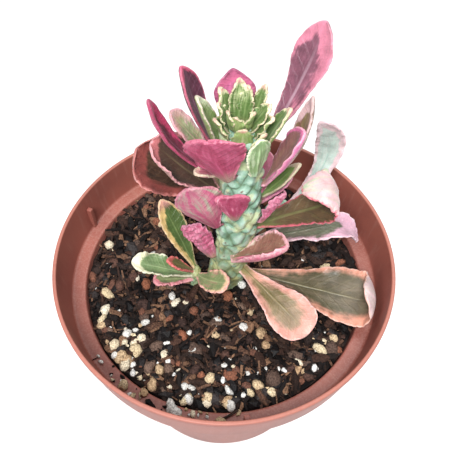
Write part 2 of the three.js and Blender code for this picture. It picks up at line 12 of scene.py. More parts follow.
import bmesh
import bpy
import numpy as np
from mathutils import Matrix, Vector


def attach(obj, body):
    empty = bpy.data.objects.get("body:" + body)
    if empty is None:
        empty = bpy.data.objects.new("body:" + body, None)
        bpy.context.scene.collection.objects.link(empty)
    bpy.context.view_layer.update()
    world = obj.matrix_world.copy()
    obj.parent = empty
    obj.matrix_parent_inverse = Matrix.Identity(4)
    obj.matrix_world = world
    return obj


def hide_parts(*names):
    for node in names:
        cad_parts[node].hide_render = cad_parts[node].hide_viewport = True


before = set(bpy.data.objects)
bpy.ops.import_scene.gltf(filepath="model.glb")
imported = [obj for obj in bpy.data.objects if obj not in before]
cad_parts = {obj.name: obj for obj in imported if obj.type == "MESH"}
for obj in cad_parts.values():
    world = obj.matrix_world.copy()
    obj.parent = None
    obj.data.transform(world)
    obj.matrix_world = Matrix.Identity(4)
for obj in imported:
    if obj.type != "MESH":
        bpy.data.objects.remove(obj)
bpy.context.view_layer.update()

LOG = logging.getLogger("potted_euphorbia")
MM = 0.001
TURN = 2 * np.pi
GREY_WEIGHTS = (0.2126, 0.7152, 0.0722)
MUTED_SHARE, MUTED_DIM = 0.12, 0.86
Colour = tuple[float, float, float]
Faces = list[tuple[int, ...]]


def srgb(red: int, green: int, blue: int) -> Colour:
    """Turn a colour as seen on a screen into the linear one that shaders use.

    Args:
        red: Red from 0 to 255.
        green: Green from 0 to 255.
        blue: Blue from 0 to 255.

    Returns:
        The linear red, green and blue.
    """
    parts = []
    for value in (red, green, blue):
        share = value / 255
        parts.append(share / 12.92 if share <= 0.04045 else ((share + 0.055) / 1.055) ** 2.4)
    return (parts[0], parts[1], parts[2])


def muted(colour: Colour) -> Colour:
    """Take a colour a little towards grey and down, as living skin shows it.

    Args:
        colour: The clean colour.

    Returns:
        The muted one.
    """
    grey = sum(weight * part for weight, part in zip(GREY_WEIGHTS, colour))
    red, green, blue = (MUTED_DIM * (part + (grey - part) * MUTED_SHARE) for part in colour)
    return (red, green, blue)


def smooth(value: np.ndarray | float, low: float = 0.0, high: float = 1.0) -> np.ndarray:
    """Ease from 0 below low to 1 above high."""
    share = np.clip((np.asarray(value, dtype=float) - low) / (high - low), 0.0, 1.0)
    return share * share * (3 - 2 * share)


def ripple(seed: int, *places: np.ndarray, waves: int = 7) -> np.ndarray:
    """A smooth repeatable unevenness of about -1 to 1 over one or more coordinates.

    Args:
        seed: Picks the pattern.
        places: The coordinates, in the lengths over which the pattern should change.
        waves: How many waves are laid over each other.

    Returns:
        The unevenness at each place.
    """
    draw = np.random.RandomState(seed)
    total = np.zeros(np.broadcast(*places).shape)
    for _ in range(waves):
        way = draw.normal(size=len(places))
        way *= (1 + (draw.rand() - 0.5)) / np.linalg.norm(way)
        phase = draw.rand() * 2 * np.pi
        total = total + np.sin(2 * np.pi * sum(k * p for k, p in zip(way, places)) + phase)
    return total / math.sqrt(waves)


# ------------------------------------------------------------------------------ shader maths


class Socket:
    """A shader value that arithmetic turns into Math nodes."""

    def __init__(self, book: "ShaderBook", source: bpy.types.NodeSocket | None) -> None:
        """Keep the node tree and the output socket."""
        self.book = book
        self.source = source

    def maths(self, operation: str, *others: "Socket | float") -> "Socket":
        """Add one Math node that starts from this value."""
        return self.book.maths(operation, self, *others)

    def __add__(self, other: "Socket | float") -> "Socket":
        """Sum."""
        return self.maths("ADD", other)

    __radd__ = __add__

    def __sub__(self, other: "Socket | float") -> "Socket":
        """Difference."""
        return self.maths("SUBTRACT", other)

    def __rsub__(self, other: float) -> "Socket":
        """Difference from a number."""
        return self.book.maths("SUBTRACT", other, self)

    def __mul__(self, other: "Socket | float") -> "Socket":
        """Product."""
        return self.maths("MULTIPLY", other)

    __rmul__ = __mul__

    def eased(self, low: "Socket | float", high: "Socket | float") -> "Socket":
        """Ease from 0 at low to 1 at high."""
        settings = {"interpolation_type": "SMOOTHSTEP"}
        return self.book.node("ShaderNodeMapRange", settings, {0: self, 1: low, 2: high, 3: 0.0, 4: 1.0})


class ShaderBook:
    """A material's node tree, written as expressions."""

    def __init__(self, name: str) -> None:
        """Start an empty material.

        Args:
            name: The material's name.
        """
        self.material = bpy.data.materials.new(name)
        self.material.use_nodes = True
        self.tree = self.material.node_tree
        self.tree.nodes.clear()

    def node(
        self, kind: str, settings: dict | None = None, inputs: dict | None = None, output: int | str = 0
    ) -> Socket:
        """Add one node.

        Args:
            kind: The node's type.
            settings: Its properties, with a ramp's stops under "stops".
            inputs: Values or sockets by the input's name or index.
            output: Which output is handed back.

        Returns:
            The output, wrapped.
        """
        made = self.tree.nodes.new(kind)
        for name, value in (settings or {}).items():
            if name == "stops":
                ramp = made.color_ramp
                while len(ramp.elements) < len(value):
                    ramp.elements.new(0.5)
                for stop, (place, colour) in zip(ramp.elements, value):
                    stop.position = place
                    stop.color = (*colour, 1.0)
            else:
                setattr(made, name, value)
        for name, value in (inputs or {}).items():
            target = made.inputs[name]
            if isinstance(value, Socket):
                self.tree.links.new(value.source, target)
            elif isinstance(value, tuple) and target.type == "RGBA":
                target.default_value = (*value, 1.0)
            else:
                target.default_value = value
        return Socket(self, made.outputs[output] if made.outputs else None)

    def maths(self, operation: str, *values: "Socket | float") -> Socket:
        """Add one Math node."""
        return self.node("ShaderNodeMath", {"operation": operation}, dict(enumerate(values)))

    def blend(self, share: "Socket | float", first: "Socket | Colour", second: "Socket | Colour") -> Socket:
        """Mix two colours."""
        return self.node("ShaderNodeMix", {"data_type": "RGBA"}, {0: share, 6: first, 7: second}, 2)

    def toned(self, colour: Socket, tone: Socket) -> Socket:
        """Multiply a colour by a number near 1."""
        settings = {"data_type": "RGBA", "blend_type": "MULTIPLY"}
        return self.node("ShaderNodeMix", settings, {0: 1.0, 6: colour, 7: self.vector(tone, tone, tone)}, 2)

    def vector(self, x: "Socket | float", y: "Socket | float", z: "Socket | float") -> Socket:
        """Join three numbers."""
        return self.node("ShaderNodeCombineXYZ", None, {0: x, 1: y, 2: z})

    def parts(self, vector: Socket) -> list[Socket]:
        """Take a vector apart."""
        split = self.node("ShaderNodeSeparateXYZ", None, {0: vector}).source.node
        return [Socket(self, output) for output in split.outputs]

    def place(self) -> Socket:
        """The place on the object, in millimetres."""
        spot = self.node("ShaderNodeTexCoord", None, None, "Object")
        return self.node("ShaderNodeVectorMath", {"operation": "SCALE"}, {0: spot, "Scale": 1 / MM})

    def noise(self, where: Socket, scale: float, detail: float = 3.0, rough: float = 0.5) -> Socket:
        """A cloudy value of 0 to 1."""
        inputs = {"Vector": where, "Scale": scale, "Detail": detail, "Roughness": rough}
        return self.node("ShaderNodeTexNoise", None, inputs)

    def attribute(self, name: str, output: str = "Vector") -> Socket:
        """A value that the mesh carries."""
        return self.node("ShaderNodeAttribute", {"attribute_name": name}, None, output)

    def relief(self, height: Socket, depth_mm: float) -> Socket:
        """Turn a height of 0 to 1 into a bumped normal."""
        inputs = {"Strength": 1.0, "Distance": depth_mm * MM, "Height": height}
        return self.node("ShaderNodeBump", None, inputs, "Normal")

    def surface(self, inputs: dict) -> bpy.types.Material:
        """Finish the material with a Principled surface.

        Args:
            inputs: The surface's values or sockets by name.

        Returns:
            The finished material.
        """
        shader = self.node("ShaderNodeBsdfPrincipled", None, inputs)
        self.node("ShaderNodeOutputMaterial", None, {"Surface": shader})
        return self.material


# ------------------------------------------------------------------------------ finishes

# features of each pattern in a millimetre
CLOUDS, BROAD_CLOUDS, SPECKS, TATTERS = 0.28, 0.11, 2.2, 0.75
# streaks across a blade's half width and along its length, and how far they sway
FAN, FIBRES, SWAY, UNDERSIDE = (3.4, 1.3), (12.0, 4.5), 0.35, 5.0
VEINS_ALONG, VEIN_SLANT, VEIN_SWAY, VEIN_PHASE = 36.0, 0.7, 3.0, 1.9
VEIN_SHARE, PATCH_SHARE, TAPER_RIB = 0.10, 0.85, (0.55, 0.95)


@dataclass(frozen=True)
class LeafFinish:
    """The colours of a variegated blade, from its middle to its teeth; its rim holds a painted highlight
    along the margin.

    Widths are in millimetres from the margin; a pair is the right side and the left side, seen from
    the root with the upper face towards the eye.
    """

    heart: Colour
    streak: Colour
    band: Colour
    rim: Colour
    back: Colour
    back_streak: Colour
    rib: Colour
    root: Colour = srgb(150, 165, 105)
    patch: Colour = srgb(214, 208, 176)
    patches: float = 0.0
    end: Colour = srgb(240, 190, 180)
    end_share: float = 0.0
    end_from: float = 0.86
    band_mm: tuple[float, float] = (1.6, 1.6)
    band_tip_mm: float = 2.0
    band_from: float = 0.55
    ragged_mm: float = 1.6
    rim_mm: float = 0.5
    streaks: float = 0.5
    fade: float = 0.0
    back_streaks: float = 0.5
    rib_mm: float = 0.5
    rib_share: float = 0.5
    root_share: float = 0.7
    root_run: float = 0.22
    band_soft_mm: float = 0.45
    roughness: float = 0.4

    def dress(self, name: str, seed: float) -> bpy.types.Material:
        """Write the material.

        Args:
            name: The material's name.
            seed: Moves the pattern.

        Returns:
            The material, which reads the blade's "blade" and "reach" attributes.
        """
        book = ShaderBook(name)
        run, side, under = book.parts(book.attribute("blade"))
        edge, middle, _ = book.parts(book.attribute("reach"))
        place = book.place()

        cloud = book.noise(place, CLOUDS, 3.0)
        broad = book.noise(place, BROAD_CLOUDS, 2.0)
        speck = book.noise(place, SPECKS, 2.0)
        ragged = book.noise(place, TATTERS, 3.0, 0.6)
        bent = side + (broad - 0.5) * SWAY
        sheet = under * UNDERSIDE
        fan = book.noise(book.vector(bent * FAN[0] + seed, run * FAN[1], sheet), 1.0, 4.0, 0.62)
        fine = book.noise(book.vector(bent * FIBRES[0] + seed, run * FIBRES[1], sheet), 1.0, 4.0, 0.6)

        # where the margin's band, rim (own edge colour and painted highlight), tip, midrib, streaks, patches
        # and veins lie
        right, left = self.band_mm
        width = side.eased(-0.15, 0.15) * (left - right) + right
        width = width + run.eased(self.band_from, 1.0) * self.band_tip_mm
        width = width + (fan + cloud - 1.0) * (2 * self.ragged_mm) + (fine - 0.5) * self.ragged_mm
        in_band = 1 - (edge - width).eased(-self.band_soft_mm, self.band_soft_mm)
        # the rim is partly the margin's own colour and partly a painted highlight along the lit edge and
        # teeth
        rim_and_highlight_edge = edge + (0.5 - ragged) * (4.5 * self.rim_mm)
        in_rim_and_highlight = 1 - rim_and_highlight_edge.eased(self.rim_mm * 0.2, self.rim_mm * 1.7)
        in_end = (run + (fine - 0.5) * 0.25).eased(self.end_from, self.end_from + 0.1) * self.end_share
        in_rib = (1 - middle.eased(self.rib_mm * 0.2, self.rib_mm)) * (1 - run.eased(*TAPER_RIB))
        streaked = (fan * 0.6 + fine * 0.25 + cloud * 0.15).eased(0.4, 0.64)
        spread = 0.14 * self.patches
        blotched = (fan * 0.5 + broad * 0.5).eased(0.6 - spread, 0.7 - spread)
        phase = (run * VEINS_ALONG - middle * VEIN_SLANT + cloud * VEIN_SWAY) * VEIN_PHASE
        vein = phase.maths("SINE").eased(0.55, 1.0) * middle.eased(0.3, 1.5)
        in_root = (1 - (run + (fan - 0.5) * 0.3).eased(0.0, self.root_run)) * self.root_share

        face = book.blend(streaked * self.streaks, muted(self.heart), muted(self.streak))
        if self.fade:
            faded = (run + (fan - 0.5) * 0.5).eased(0.3, 0.95) * self.fade
            face = book.blend(faded, face, muted(self.streak))
        back = book.blend(streaked * self.back_streaks, muted(self.back), muted(self.back_streak))
        face = book.blend(in_rib * self.rib_share, face, muted(self.rib))
        face = book.blend(vein * VEIN_SHARE, face, muted(self.rib))
        face = book.blend(in_band, face, muted(self.band))
        colour = book.blend(under, face, back)
        if self.patches:
            colour = book.blend(blotched * PATCH_SHARE, colour, muted(self.patch))
        colour = book.blend(in_root, colour, muted(self.root))
        if self.end_share:
            colour = book.blend(in_end, colour, muted(self.end))
        # the thin rim line: the margin's own colour with a painted highlight along it
        colour = book.blend(in_rim_and_highlight * (ragged * 0.9 + 0.35), colour, muted(self.rim))
        tone = (cloud - 0.5) * 0.75 + (broad - 0.5) * 0.7 + (speck - 0.5) * 0.35 + (fine - 0.5) * 0.3 + 1.0
        height = fine * 0.5 + speck * 0.2 + ragged * 0.3 + vein * 0.25 + in_rib * 0.5
        return book.surface(
            {
                "Base Color": book.toned(colour, tone),
                "Roughness": (ragged - 0.5) * 0.25 + self.roughness,
                "Normal": book.relief(height, 0.26),
                "Subsurface Weight": 0.08,
                "Subsurface Radius": (1.0, 0.6, 0.4),
                "Subsurface Scale": 0.001,
                "Specular IOR Level": 0.45,
                "Sheen Weight": 0.06,
                "Sheen Roughness": 0.4,
            }
        )


LEAF_FINISHES: dict[str, LeafFinish] = {
    "mauve_paddle": LeafFinish(
        heart=srgb(134, 78, 98), streak=srgb(158, 98, 120), band=srgb(220, 128, 154),
        rim=srgb(228, 150, 170), back=srgb(110, 58, 74), back_streak=srgb(200, 110, 140),
        rib=srgb(196, 158, 174), band_mm=(1.4, -1.6), band_tip_mm=5.6, band_from=0.5, ragged_mm=2.4,
        rim_mm=0.3, rib_mm=0.8, rib_share=0.65, root=srgb(132, 84, 92), band_soft_mm=0.9),
    "maroon": LeafFinish(
        heart=srgb(92, 42, 64), streak=srgb(126, 74, 98), band=srgb(206, 70, 112), rim=srgb(222, 110, 140),
        back=srgb(88, 40, 54), back_streak=srgb(150, 60, 90), rib=srgb(168, 120, 146), band_mm=(-0.6, 1.0),
        band_tip_mm=1.6, ragged_mm=1.0, rim_mm=0.35, rib_mm=0.7, rib_share=0.45, root=srgb(96, 48, 58),
        streaks=0.7),
    "pink_shell": LeafFinish(
        heart=srgb(206, 96, 148), streak=srgb(224, 128, 168), band=srgb(214, 104, 148),
        rim=srgb(170, 80, 118), back=srgb(206, 92, 150), back_streak=srgb(160, 80, 110),
        rib=srgb(140, 76, 92), rib_mm=1.1, rib_share=0.8, root=srgb(150, 110, 80), streaks=0.7),
    "pale_stripe": LeafFinish(
        heart=srgb(108, 140, 62), streak=srgb(168, 188, 126), band=srgb(200, 212, 176),
        rim=srgb(238, 216, 198), back=srgb(140, 162, 92), back_streak=srgb(190, 205, 150),
        rib=srgb(180, 200, 140), band_mm=(0.2, 2.2), ragged_mm=1.8, rim_mm=0.2, root=srgb(128, 140, 70),
        streaks=0.7, patch=srgb(186, 196, 150), patches=0.7),
    "cream_blotch": LeafFinish(
        heart=srgb(160, 176, 116), streak=srgb(196, 202, 156), band=srgb(224, 182, 178),
        rim=srgb(228, 160, 174), back=srgb(190, 200, 150), back_streak=srgb(160, 175, 110),
        rib=srgb(200, 150, 130), streaks=0.8, band_mm=(1.0, 0.4), ragged_mm=2.4, rim_mm=0.45,
        root=srgb(150, 160, 90), patch=srgb(206, 160, 140), patches=1.0),
    "magenta_edge": LeafFinish(
        heart=srgb(112, 42, 64), streak=srgb(146, 56, 84), band=srgb(196, 58, 104), rim=srgb(176, 70, 104),
        back=srgb(205, 62, 112), back_streak=srgb(130, 50, 76), rib=srgb(170, 90, 120), band_mm=(0.3, 1.6),
        band_tip_mm=3.0, band_from=0.3, ragged_mm=1.4, rim_mm=0.3, root=srgb(104, 50, 60)),
    "olive_stripe": LeafFinish(
        heart=srgb(142, 124, 82), streak=srgb(134, 84, 82), band=srgb(222, 182, 186),
        rim=srgb(236, 200, 198), back=srgb(150, 120, 90), back_streak=srgb(150, 80, 90),
        rib=srgb(190, 176, 120), streaks=0.85, band_mm=(0.2, 0.2), band_tip_mm=3.4, band_from=0.55,
        ragged_mm=1.2, rim_mm=0.35, root=srgb(150, 142, 96)),
    "young_green": LeafFinish(
        heart=srgb(88, 126, 50), streak=srgb(166, 184, 118), band=srgb(222, 224, 172),
        rim=srgb(238, 218, 180), back=srgb(138, 170, 84), back_streak=srgb(190, 205, 140),
        rib=srgb(150, 178, 104), band_mm=(-0.5, -0.6), band_tip_mm=1.5, ragged_mm=2.8, rim_mm=0.16,
        root=srgb(128, 120, 78), root_share=0.5, streaks=0.55, end=srgb(226, 150, 150), end_share=0.8,
        end_from=0.86, band_soft_mm=0.35, patch=srgb(196, 206, 150), patches=0.5),
    "mint_scale": LeafFinish(
        heart=srgb(196, 210, 160), streak=srgb(158, 186, 130), band=srgb(226, 230, 188),
        rim=srgb(238, 236, 204), back=srgb(186, 210, 160), back_streak=srgb(150, 185, 130),
        rib=srgb(170, 200, 140), band_mm=(0.4, 0.4), ragged_mm=1.2, rim_mm=0.25, root=srgb(150, 190, 150),
        streaks=0.7, patch=srgb(112, 150, 84), patches=0.8),
    "hot_pink": LeafFinish(
        heart=srgb(176, 56, 98), streak=srgb(226, 104, 148), band=srgb(216, 84, 130),
        rim=srgb(220, 120, 146), back=srgb(160, 46, 84), back_streak=srgb(190, 82, 120),
        rib=srgb(150, 142, 126), back_streaks=0.8, rib_mm=2.8, rib_share=0.95, ragged_mm=1.2, rim_mm=0.5,
        root=srgb(150, 146, 116), patch=srgb(228, 160, 176), patches=0.12, root_run=0.3, roughness=0.36),
    "pink_fold": LeafFinish(
        heart=srgb(150, 92, 94), streak=srgb(140, 104, 80), band=srgb(226, 104, 164),
        rim=srgb(236, 166, 184), back=srgb(232, 108, 172), back_streak=srgb(240, 150, 190),
        rib=srgb(180, 130, 120), band_mm=(3.4, 0.2), band_tip_mm=1.6, ragged_mm=1.2, rim_mm=0.35,
        root=srgb(150, 130, 90), streaks=0.8, band_from=0.5),
    "rolled_olive": LeafFinish(
        heart=srgb(80, 56, 46), streak=srgb(66, 54, 38), band=srgb(186, 104, 106), rim=srgb(232, 160, 166),
        back=srgb(214, 142, 148), back_streak=srgb(150, 168, 120), rib=srgb(120, 104, 70),
        band_mm=(0.5, 2.2), band_tip_mm=1.6, ragged_mm=1.3, rim_mm=0.5, root=srgb(92, 76, 52),
        band_soft_mm=0.7),
    "coral_olive": LeafFinish(
        heart=srgb(62, 44, 34), streak=srgb(110, 76, 52), band=srgb(142, 68, 62), rim=srgb(200, 120, 114),
        back=srgb(150, 80, 74), back_streak=srgb(130, 96, 70), rib=srgb(116, 90, 58), band_mm=(1.6, 3.0),
        band_tip_mm=3.0, band_from=0.4, ragged_mm=1.8, rim_mm=0.6, root=srgb(98, 76, 50), band_soft_mm=1.2),
    "blushed": LeafFinish(
        heart=srgb(190, 92, 114), streak=srgb(222, 140, 160), band=srgb(232, 170, 160),
        rim=srgb(232, 210, 180), back=srgb(200, 100, 130), back_streak=srgb(228, 190, 170),
        rib=srgb(150, 80, 80), band_mm=(0.5, 0.5), ragged_mm=0.7, rim_mm=0.4, root=srgb(150, 150, 110)),
    "leaf_green": LeafFinish(
        heart=srgb(104, 138, 56), streak=srgb(136, 160, 84), band=srgb(196, 176, 146),
        rim=srgb(206, 190, 160), back=srgb(120, 150, 80), back_streak=srgb(160, 180, 110),
        rib=srgb(150, 176, 96), band_mm=(0.1, 0.1), band_tip_mm=1.6, ragged_mm=0.6, rim_mm=0.25,
        root=srgb(120, 146, 74)),
    "shell_streaked": LeafFinish(
        heart=srgb(206, 92, 130), streak=srgb(176, 150, 146), band=srgb(222, 126, 156),
        rim=srgb(240, 160, 176), back=srgb(204, 88, 130), back_streak=srgb(168, 166, 146),
        rib=srgb(150, 150, 130), back_streaks=0.85, ragged_mm=1.6, rim_mm=0.5, root=srgb(160, 52, 88),
        root_share=0.9, patch=srgb(168, 168, 144), patches=0.25, root_run=0.5),
    "olive_curl": LeafFinish(
        heart=srgb(102, 78, 48), streak=srgb(88, 70, 40), band=srgb(136, 84, 64), rim=srgb(214, 90, 112),
        back=srgb(236, 184, 192), back_streak=srgb(160, 186, 148), rib=srgb(122, 128, 66),
        band_mm=(0.2, 0.1), band_tip_mm=2.0, ragged_mm=1.2, rim_mm=0.55, back_streaks=0.55, rib_mm=1.0,
        root=srgb(112, 128, 62), patch=srgb(170, 196, 156), patches=0.35),
    "mint_ribbon": LeafFinish(
        heart=srgb(216, 230, 220), streak=srgb(160, 206, 192), band=srgb(238, 208, 212),
        rim=srgb(246, 210, 216), back=srgb(226, 220, 216), back_streak=srgb(176, 196, 160),
        rib=srgb(160, 208, 190), streaks=0.55, band_mm=(1.5, 0.5), ragged_mm=1.6, rim_mm=0.5,
        root=srgb(190, 178, 160), roughness=0.36),
    "bright_green": LeafFinish(
        heart=srgb(92, 136, 50), streak=srgb(112, 156, 66), band=srgb(156, 204, 172),
        rim=srgb(180, 214, 190), back=srgb(110, 150, 80), back_streak=srgb(150, 190, 150),
        rib=srgb(120, 160, 84), band_mm=(1.6, 0.1), ragged_mm=0.6, rim_mm=0.3, root=srgb(100, 140, 60)),
    "frilled_rose": LeafFinish(
        heart=srgb(150, 96, 82), streak=srgb(134, 112, 84), band=srgb(230, 116, 150),
        rim=srgb(240, 180, 186), back=srgb(226, 112, 144), back_streak=srgb(232, 150, 168),
        rib=srgb(150, 130, 90), band_mm=(6.4, -0.2), band_tip_mm=0.8, ragged_mm=0.7, rim_mm=0.9,
        root=srgb(150, 140, 96), patch=srgb(216, 204, 184), patches=0.35, back_streaks=0.7,
        band_soft_mm=0.6),
    "lilac_end": LeafFinish(
        heart=srgb(98, 104, 80), streak=srgb(130, 104, 100), band=srgb(216, 166, 186),
        rim=srgb(232, 200, 206), back=srgb(190, 130, 160), back_streak=srgb(120, 120, 100),
        rib=srgb(90, 100, 70), band_mm=(0.9, 0.2), band_tip_mm=11.0, band_from=0.5, ragged_mm=2.2,
        rim_mm=0.5, root=srgb(110, 126, 92), band_soft_mm=1.0),
    "crinkled_lilac": LeafFinish(
        heart=srgb(206, 90, 132), streak=srgb(236, 164, 188), band=srgb(216, 120, 162),
        rim=srgb(232, 150, 176), back=srgb(204, 88, 128), back_streak=srgb(238, 166, 190),
        rib=srgb(150, 50, 90), back_streaks=0.7, ragged_mm=0.9, rim_mm=0.3, root=srgb(160, 140, 96)),
    "peach_olive": LeafFinish(
        heart=srgb(120, 108, 58), streak=srgb(178, 148, 124), band=srgb(230, 158, 142),
        rim=srgb(242, 190, 182), back=srgb(190, 130, 110), back_streak=srgb(150, 130, 90),
        rib=srgb(172, 152, 100), streaks=0.45, band_mm=(1.7, 2.6), band_tip_mm=3.0, ragged_mm=2.0,
        rim_mm=0.4, root=srgb(138, 138, 70), end=srgb(240, 214, 206), end_share=0.5, end_from=0.93,
        band_soft_mm=2.0, fade=0.65),
    "peach_grey": LeafFinish(
        heart=srgb(80, 74, 44), streak=srgb(130, 114, 94), band=srgb(220, 148, 122),
        rim=srgb(238, 186, 168), back=srgb(222, 190, 196), back_streak=srgb(170, 176, 150),
        rib=srgb(160, 150, 110), streaks=0.45, band_mm=(2.6, 1.5), band_tip_mm=4.4, ragged_mm=2.2,
        rim_mm=0.4, root=srgb(116, 116, 62), band_soft_mm=2.2, fade=0.45),
    "green_amber": LeafFinish(
        heart=srgb(72, 98, 40), streak=srgb(96, 118, 58), band=srgb(222, 186, 112), rim=srgb(232, 196, 150),
        back=srgb(120, 145, 80), back_streak=srgb(160, 170, 100), rib=srgb(128, 148, 84),
        band_mm=(-0.4, 2.0), band_tip_mm=1.4, ragged_mm=1.3, rim_mm=0.4, root=srgb(120, 132, 70),
        end=srgb(226, 150, 148), end_share=0.7, end_from=0.84),
    "red_toothed": LeafFinish(
        heart=srgb(112, 104, 52), streak=srgb(90, 84, 40), band=srgb(190, 96, 82), rim=srgb(232, 110, 110),
        back=srgb(130, 110, 70), back_streak=srgb(180, 110, 90), rib=srgb(140, 130, 70), band_mm=(0.4, 0.4),
        ragged_mm=0.6, rim_mm=0.6, root=srgb(100, 90, 50)),
    "green_cream": LeafFinish(
        heart=srgb(100, 130, 74), streak=srgb(140, 158, 108), band=srgb(228, 226, 184),
        rim=srgb(238, 232, 204), back=srgb(150, 170, 120), back_streak=srgb(200, 210, 160),
        rib=srgb(160, 180, 126), band_mm=(-0.3, 0.3), band_tip_mm=3.4, band_from=0.5, ragged_mm=1.8,
        rim_mm=0.5, root=srgb(140, 155, 110), end=srgb(238, 234, 196), end_share=0.8, end_from=0.84,
        band_soft_mm=0.8),
    "green_blush": LeafFinish(
        heart=srgb(124, 144, 88), streak=srgb(164, 160, 114), band=srgb(224, 186, 144),
        rim=srgb(236, 164, 156), back=srgb(180, 150, 120), back_streak=srgb(160, 170, 120),
        rib=srgb(176, 190, 130), band_mm=(0.5, 0.1), band_tip_mm=1.2, ragged_mm=1.5, rim_mm=0.5,
        root=srgb(150, 164, 120), patch=srgb(176, 130, 112), patches=0.5, band_soft_mm=0.8),
    "green_frill": LeafFinish(
        heart=srgb(118, 132, 82), streak=srgb(146, 148, 104), band=srgb(232, 130, 142),
        rim=srgb(238, 160, 168), back=srgb(240, 140, 156), back_streak=srgb(190, 180, 130),
        rib=srgb(150, 160, 110), band_mm=(0.4, 1.2), band_tip_mm=1.0, ragged_mm=0.8, rim_mm=1.1,
        root=srgb(140, 150, 104)),
}


@dataclass(frozen=True)
class StemFinish:
    """Waxy pale blue-green skin with cream patches and brown scars; painted shade in grooves, painted
    highlight on knobs.
    """

    # painted highlight on the knob tops
    knob_highlight: Colour = srgb(172, 200, 184)
    skin: Colour = srgb(128, 164, 142)
    # painted shade in the grooves between the knobs
    groove_shade: Colour = srgb(88, 112, 84)
    cream: Colour = srgb(192, 198, 152)
    foot: Colour = srgb(142, 142, 88)
    scar: Colour = srgb(104, 66, 50)
    foot_mm: tuple[float, float] = (4.0, 42.0)
    pores_mm: float = 0.25

    def dress(self) -> bpy.types.Material:
        """Write the material.

        Returns:
            The material, which reads the skin's "knob" attribute.
        """
        book = ShaderBook("waxy_stem")
        knob, scar, rise = book.parts(book.attribute("knob"))
        place = book.place()
        cloud = book.noise(place, 0.3, 3.0)
        fine = book.noise(place, 1.6, 4.0)
        broad = book.noise(place, 0.16, 2.0)
        # painted shade: the skin darkens to the groove colour where the knobs dip
        colour = book.blend((knob + (cloud - 0.5) * 0.8).eased(0.0, 0.6), self.groove_shade, self.skin)
        # painted highlight: the tops of the knobs turn paler
        colour = book.blend((knob + (cloud - 0.5) * 1.6).eased(0.62, 1.05), colour, self.knob_highlight)
        colour = book.blend((broad + (cloud - 0.5) * 0.5).eased(0.5, 0.64) * 0.75, colour, self.cream)
        low = (1 - rise.eased(*self.foot_mm)) * cloud.eased(0.25, 0.6)
        colour = book.blend(low * 0.8, colour, self.foot)
        colour = book.blend(scar * fine.eased(0.35, 0.6), colour, self.scar)
        return book.surface(
            {
                "Base Color": colour,
                "Roughness": (fine - 0.5) * 0.2 + 0.46,
                "Normal": book.relief(fine, self.pores_mm),
                "Subsurface Weight": 0.12,
                "Subsurface Radius": (0.6, 1.0, 0.5),
                "Subsurface Scale": 0.002,
            }
        )


@dataclass(frozen=True)
class PotFinish:
    """Satin terracotta-coloured plastic with scuffs, a little dust and a painted highlight on top of the lip.
    """

    body: Colour = srgb(146, 84, 72)
    deep: Colour = srgb(122, 68, 60)
    scuff_and_highlight: Colour = srgb(186, 122, 106)
    # the scuffs' paler colour, also used for the painted highlight on the lip
    dust: Colour = srgb(166, 122, 110)
    streaks_around: float = 22.0
    scratches_around: float = 60.0
    grain_mm: float = 0.06

    def dress(self) -> bpy.types.Material:
        """Write the material.

        Returns:
            The material, which reads the wall's "wear" attribute.
        """
        book = ShaderBook("terracotta_plastic")
        lip, ledge, _ = book.parts(book.attribute("wear"))
        place = book.place()
        cloud = book.noise(place, 0.05, 3.0)
        x, y, z = book.parts(place)
        around = y.maths("ARCTAN2", x)
        streak = book.noise(book.vector(around * self.streaks_around, z * 0.05, 0.0), 1.0, 4.0, 0.6)
        fine = book.noise(place, 1.5, 4.0, 0.65)
        scratch = book.noise(book.vector(around * self.scratches_around, z * 1.5, 3.0), 1.0, 2.0)
        colour = book.blend(cloud.eased(0.1, 0.7), self.deep, self.body)
        colour = book.blend(streak.eased(0.5, 0.75) * 0.30, colour, self.dust)
        colour = book.blend(ledge * fine.eased(0.42, 0.66) * 0.4, colour, self.dust)
        colour = book.blend((scratch * fine).eased(0.36, 0.5) * 0.35, colour, self.scuff_and_highlight)
        # painted highlight: the top of the lip is painted in the paler colour
        colour = book.blend(lip * (fine * 0.6 + 0.2), colour, self.scuff_and_highlight)
        return book.surface(
            {
                "Base Color": colour,
                "Roughness": streak * 0.16 + fine * 0.14 + 0.34,
                "Normal": book.relief(fine * 0.4 + streak * 0.6, self.grain_mm),
                "Specular IOR Level": 0.45,
            }
        )


@dataclass(frozen=True)
class GritFinish:
    """A ramp of colours for one kind of grit, spread over its crumbs by their "tone"."""

    name: str
    stops: tuple[Colour, ...]
    roughness: float = 0.85
    pits_mm: float = 0.25
    grain: float = 1.6

    def dress(self) -> bpy.types.Material:
        """Write the material.

        Returns:
            The material, which reads the grit's "tone" attribute.
        """
        book = ShaderBook(self.name)
        tone = book.attribute("tone", "Fac")
        fine = book.noise(book.place(), self.grain, 4.0, 0.6)
        last = len(self.stops) - 1
        stops = [(k / last, colour) for k, colour in enumerate(self.stops)]
        colour = book.node("ShaderNodeValToRGB", {"stops": stops}, {0: tone + (fine - 0.5) * 0.35})
        return book.surface(
            {
                "Base Color": book.toned(colour, fine.eased(0.25, 0.7) * 0.75 + 0.3),
                "Roughness": (fine - 0.5) * 0.3 + self.roughness,
                "Specular IOR Level": 0.18,
                "Normal": book.relief(fine, self.pits_mm),
            }
        )


# ------------------------------------------------------------------------------ mesh helpers


def hang(name: str, data: bpy.types.ID) -> bpy.types.Object:
    """Put a mesh, light or camera into the scene.

    Args:
        name: The object's name.
        data: What it shows.

    Returns:
        The object.
    """
    made = bpy.data.objects.new(name, data)
    bpy.context.scene.collection.objects.link(made)
    return made


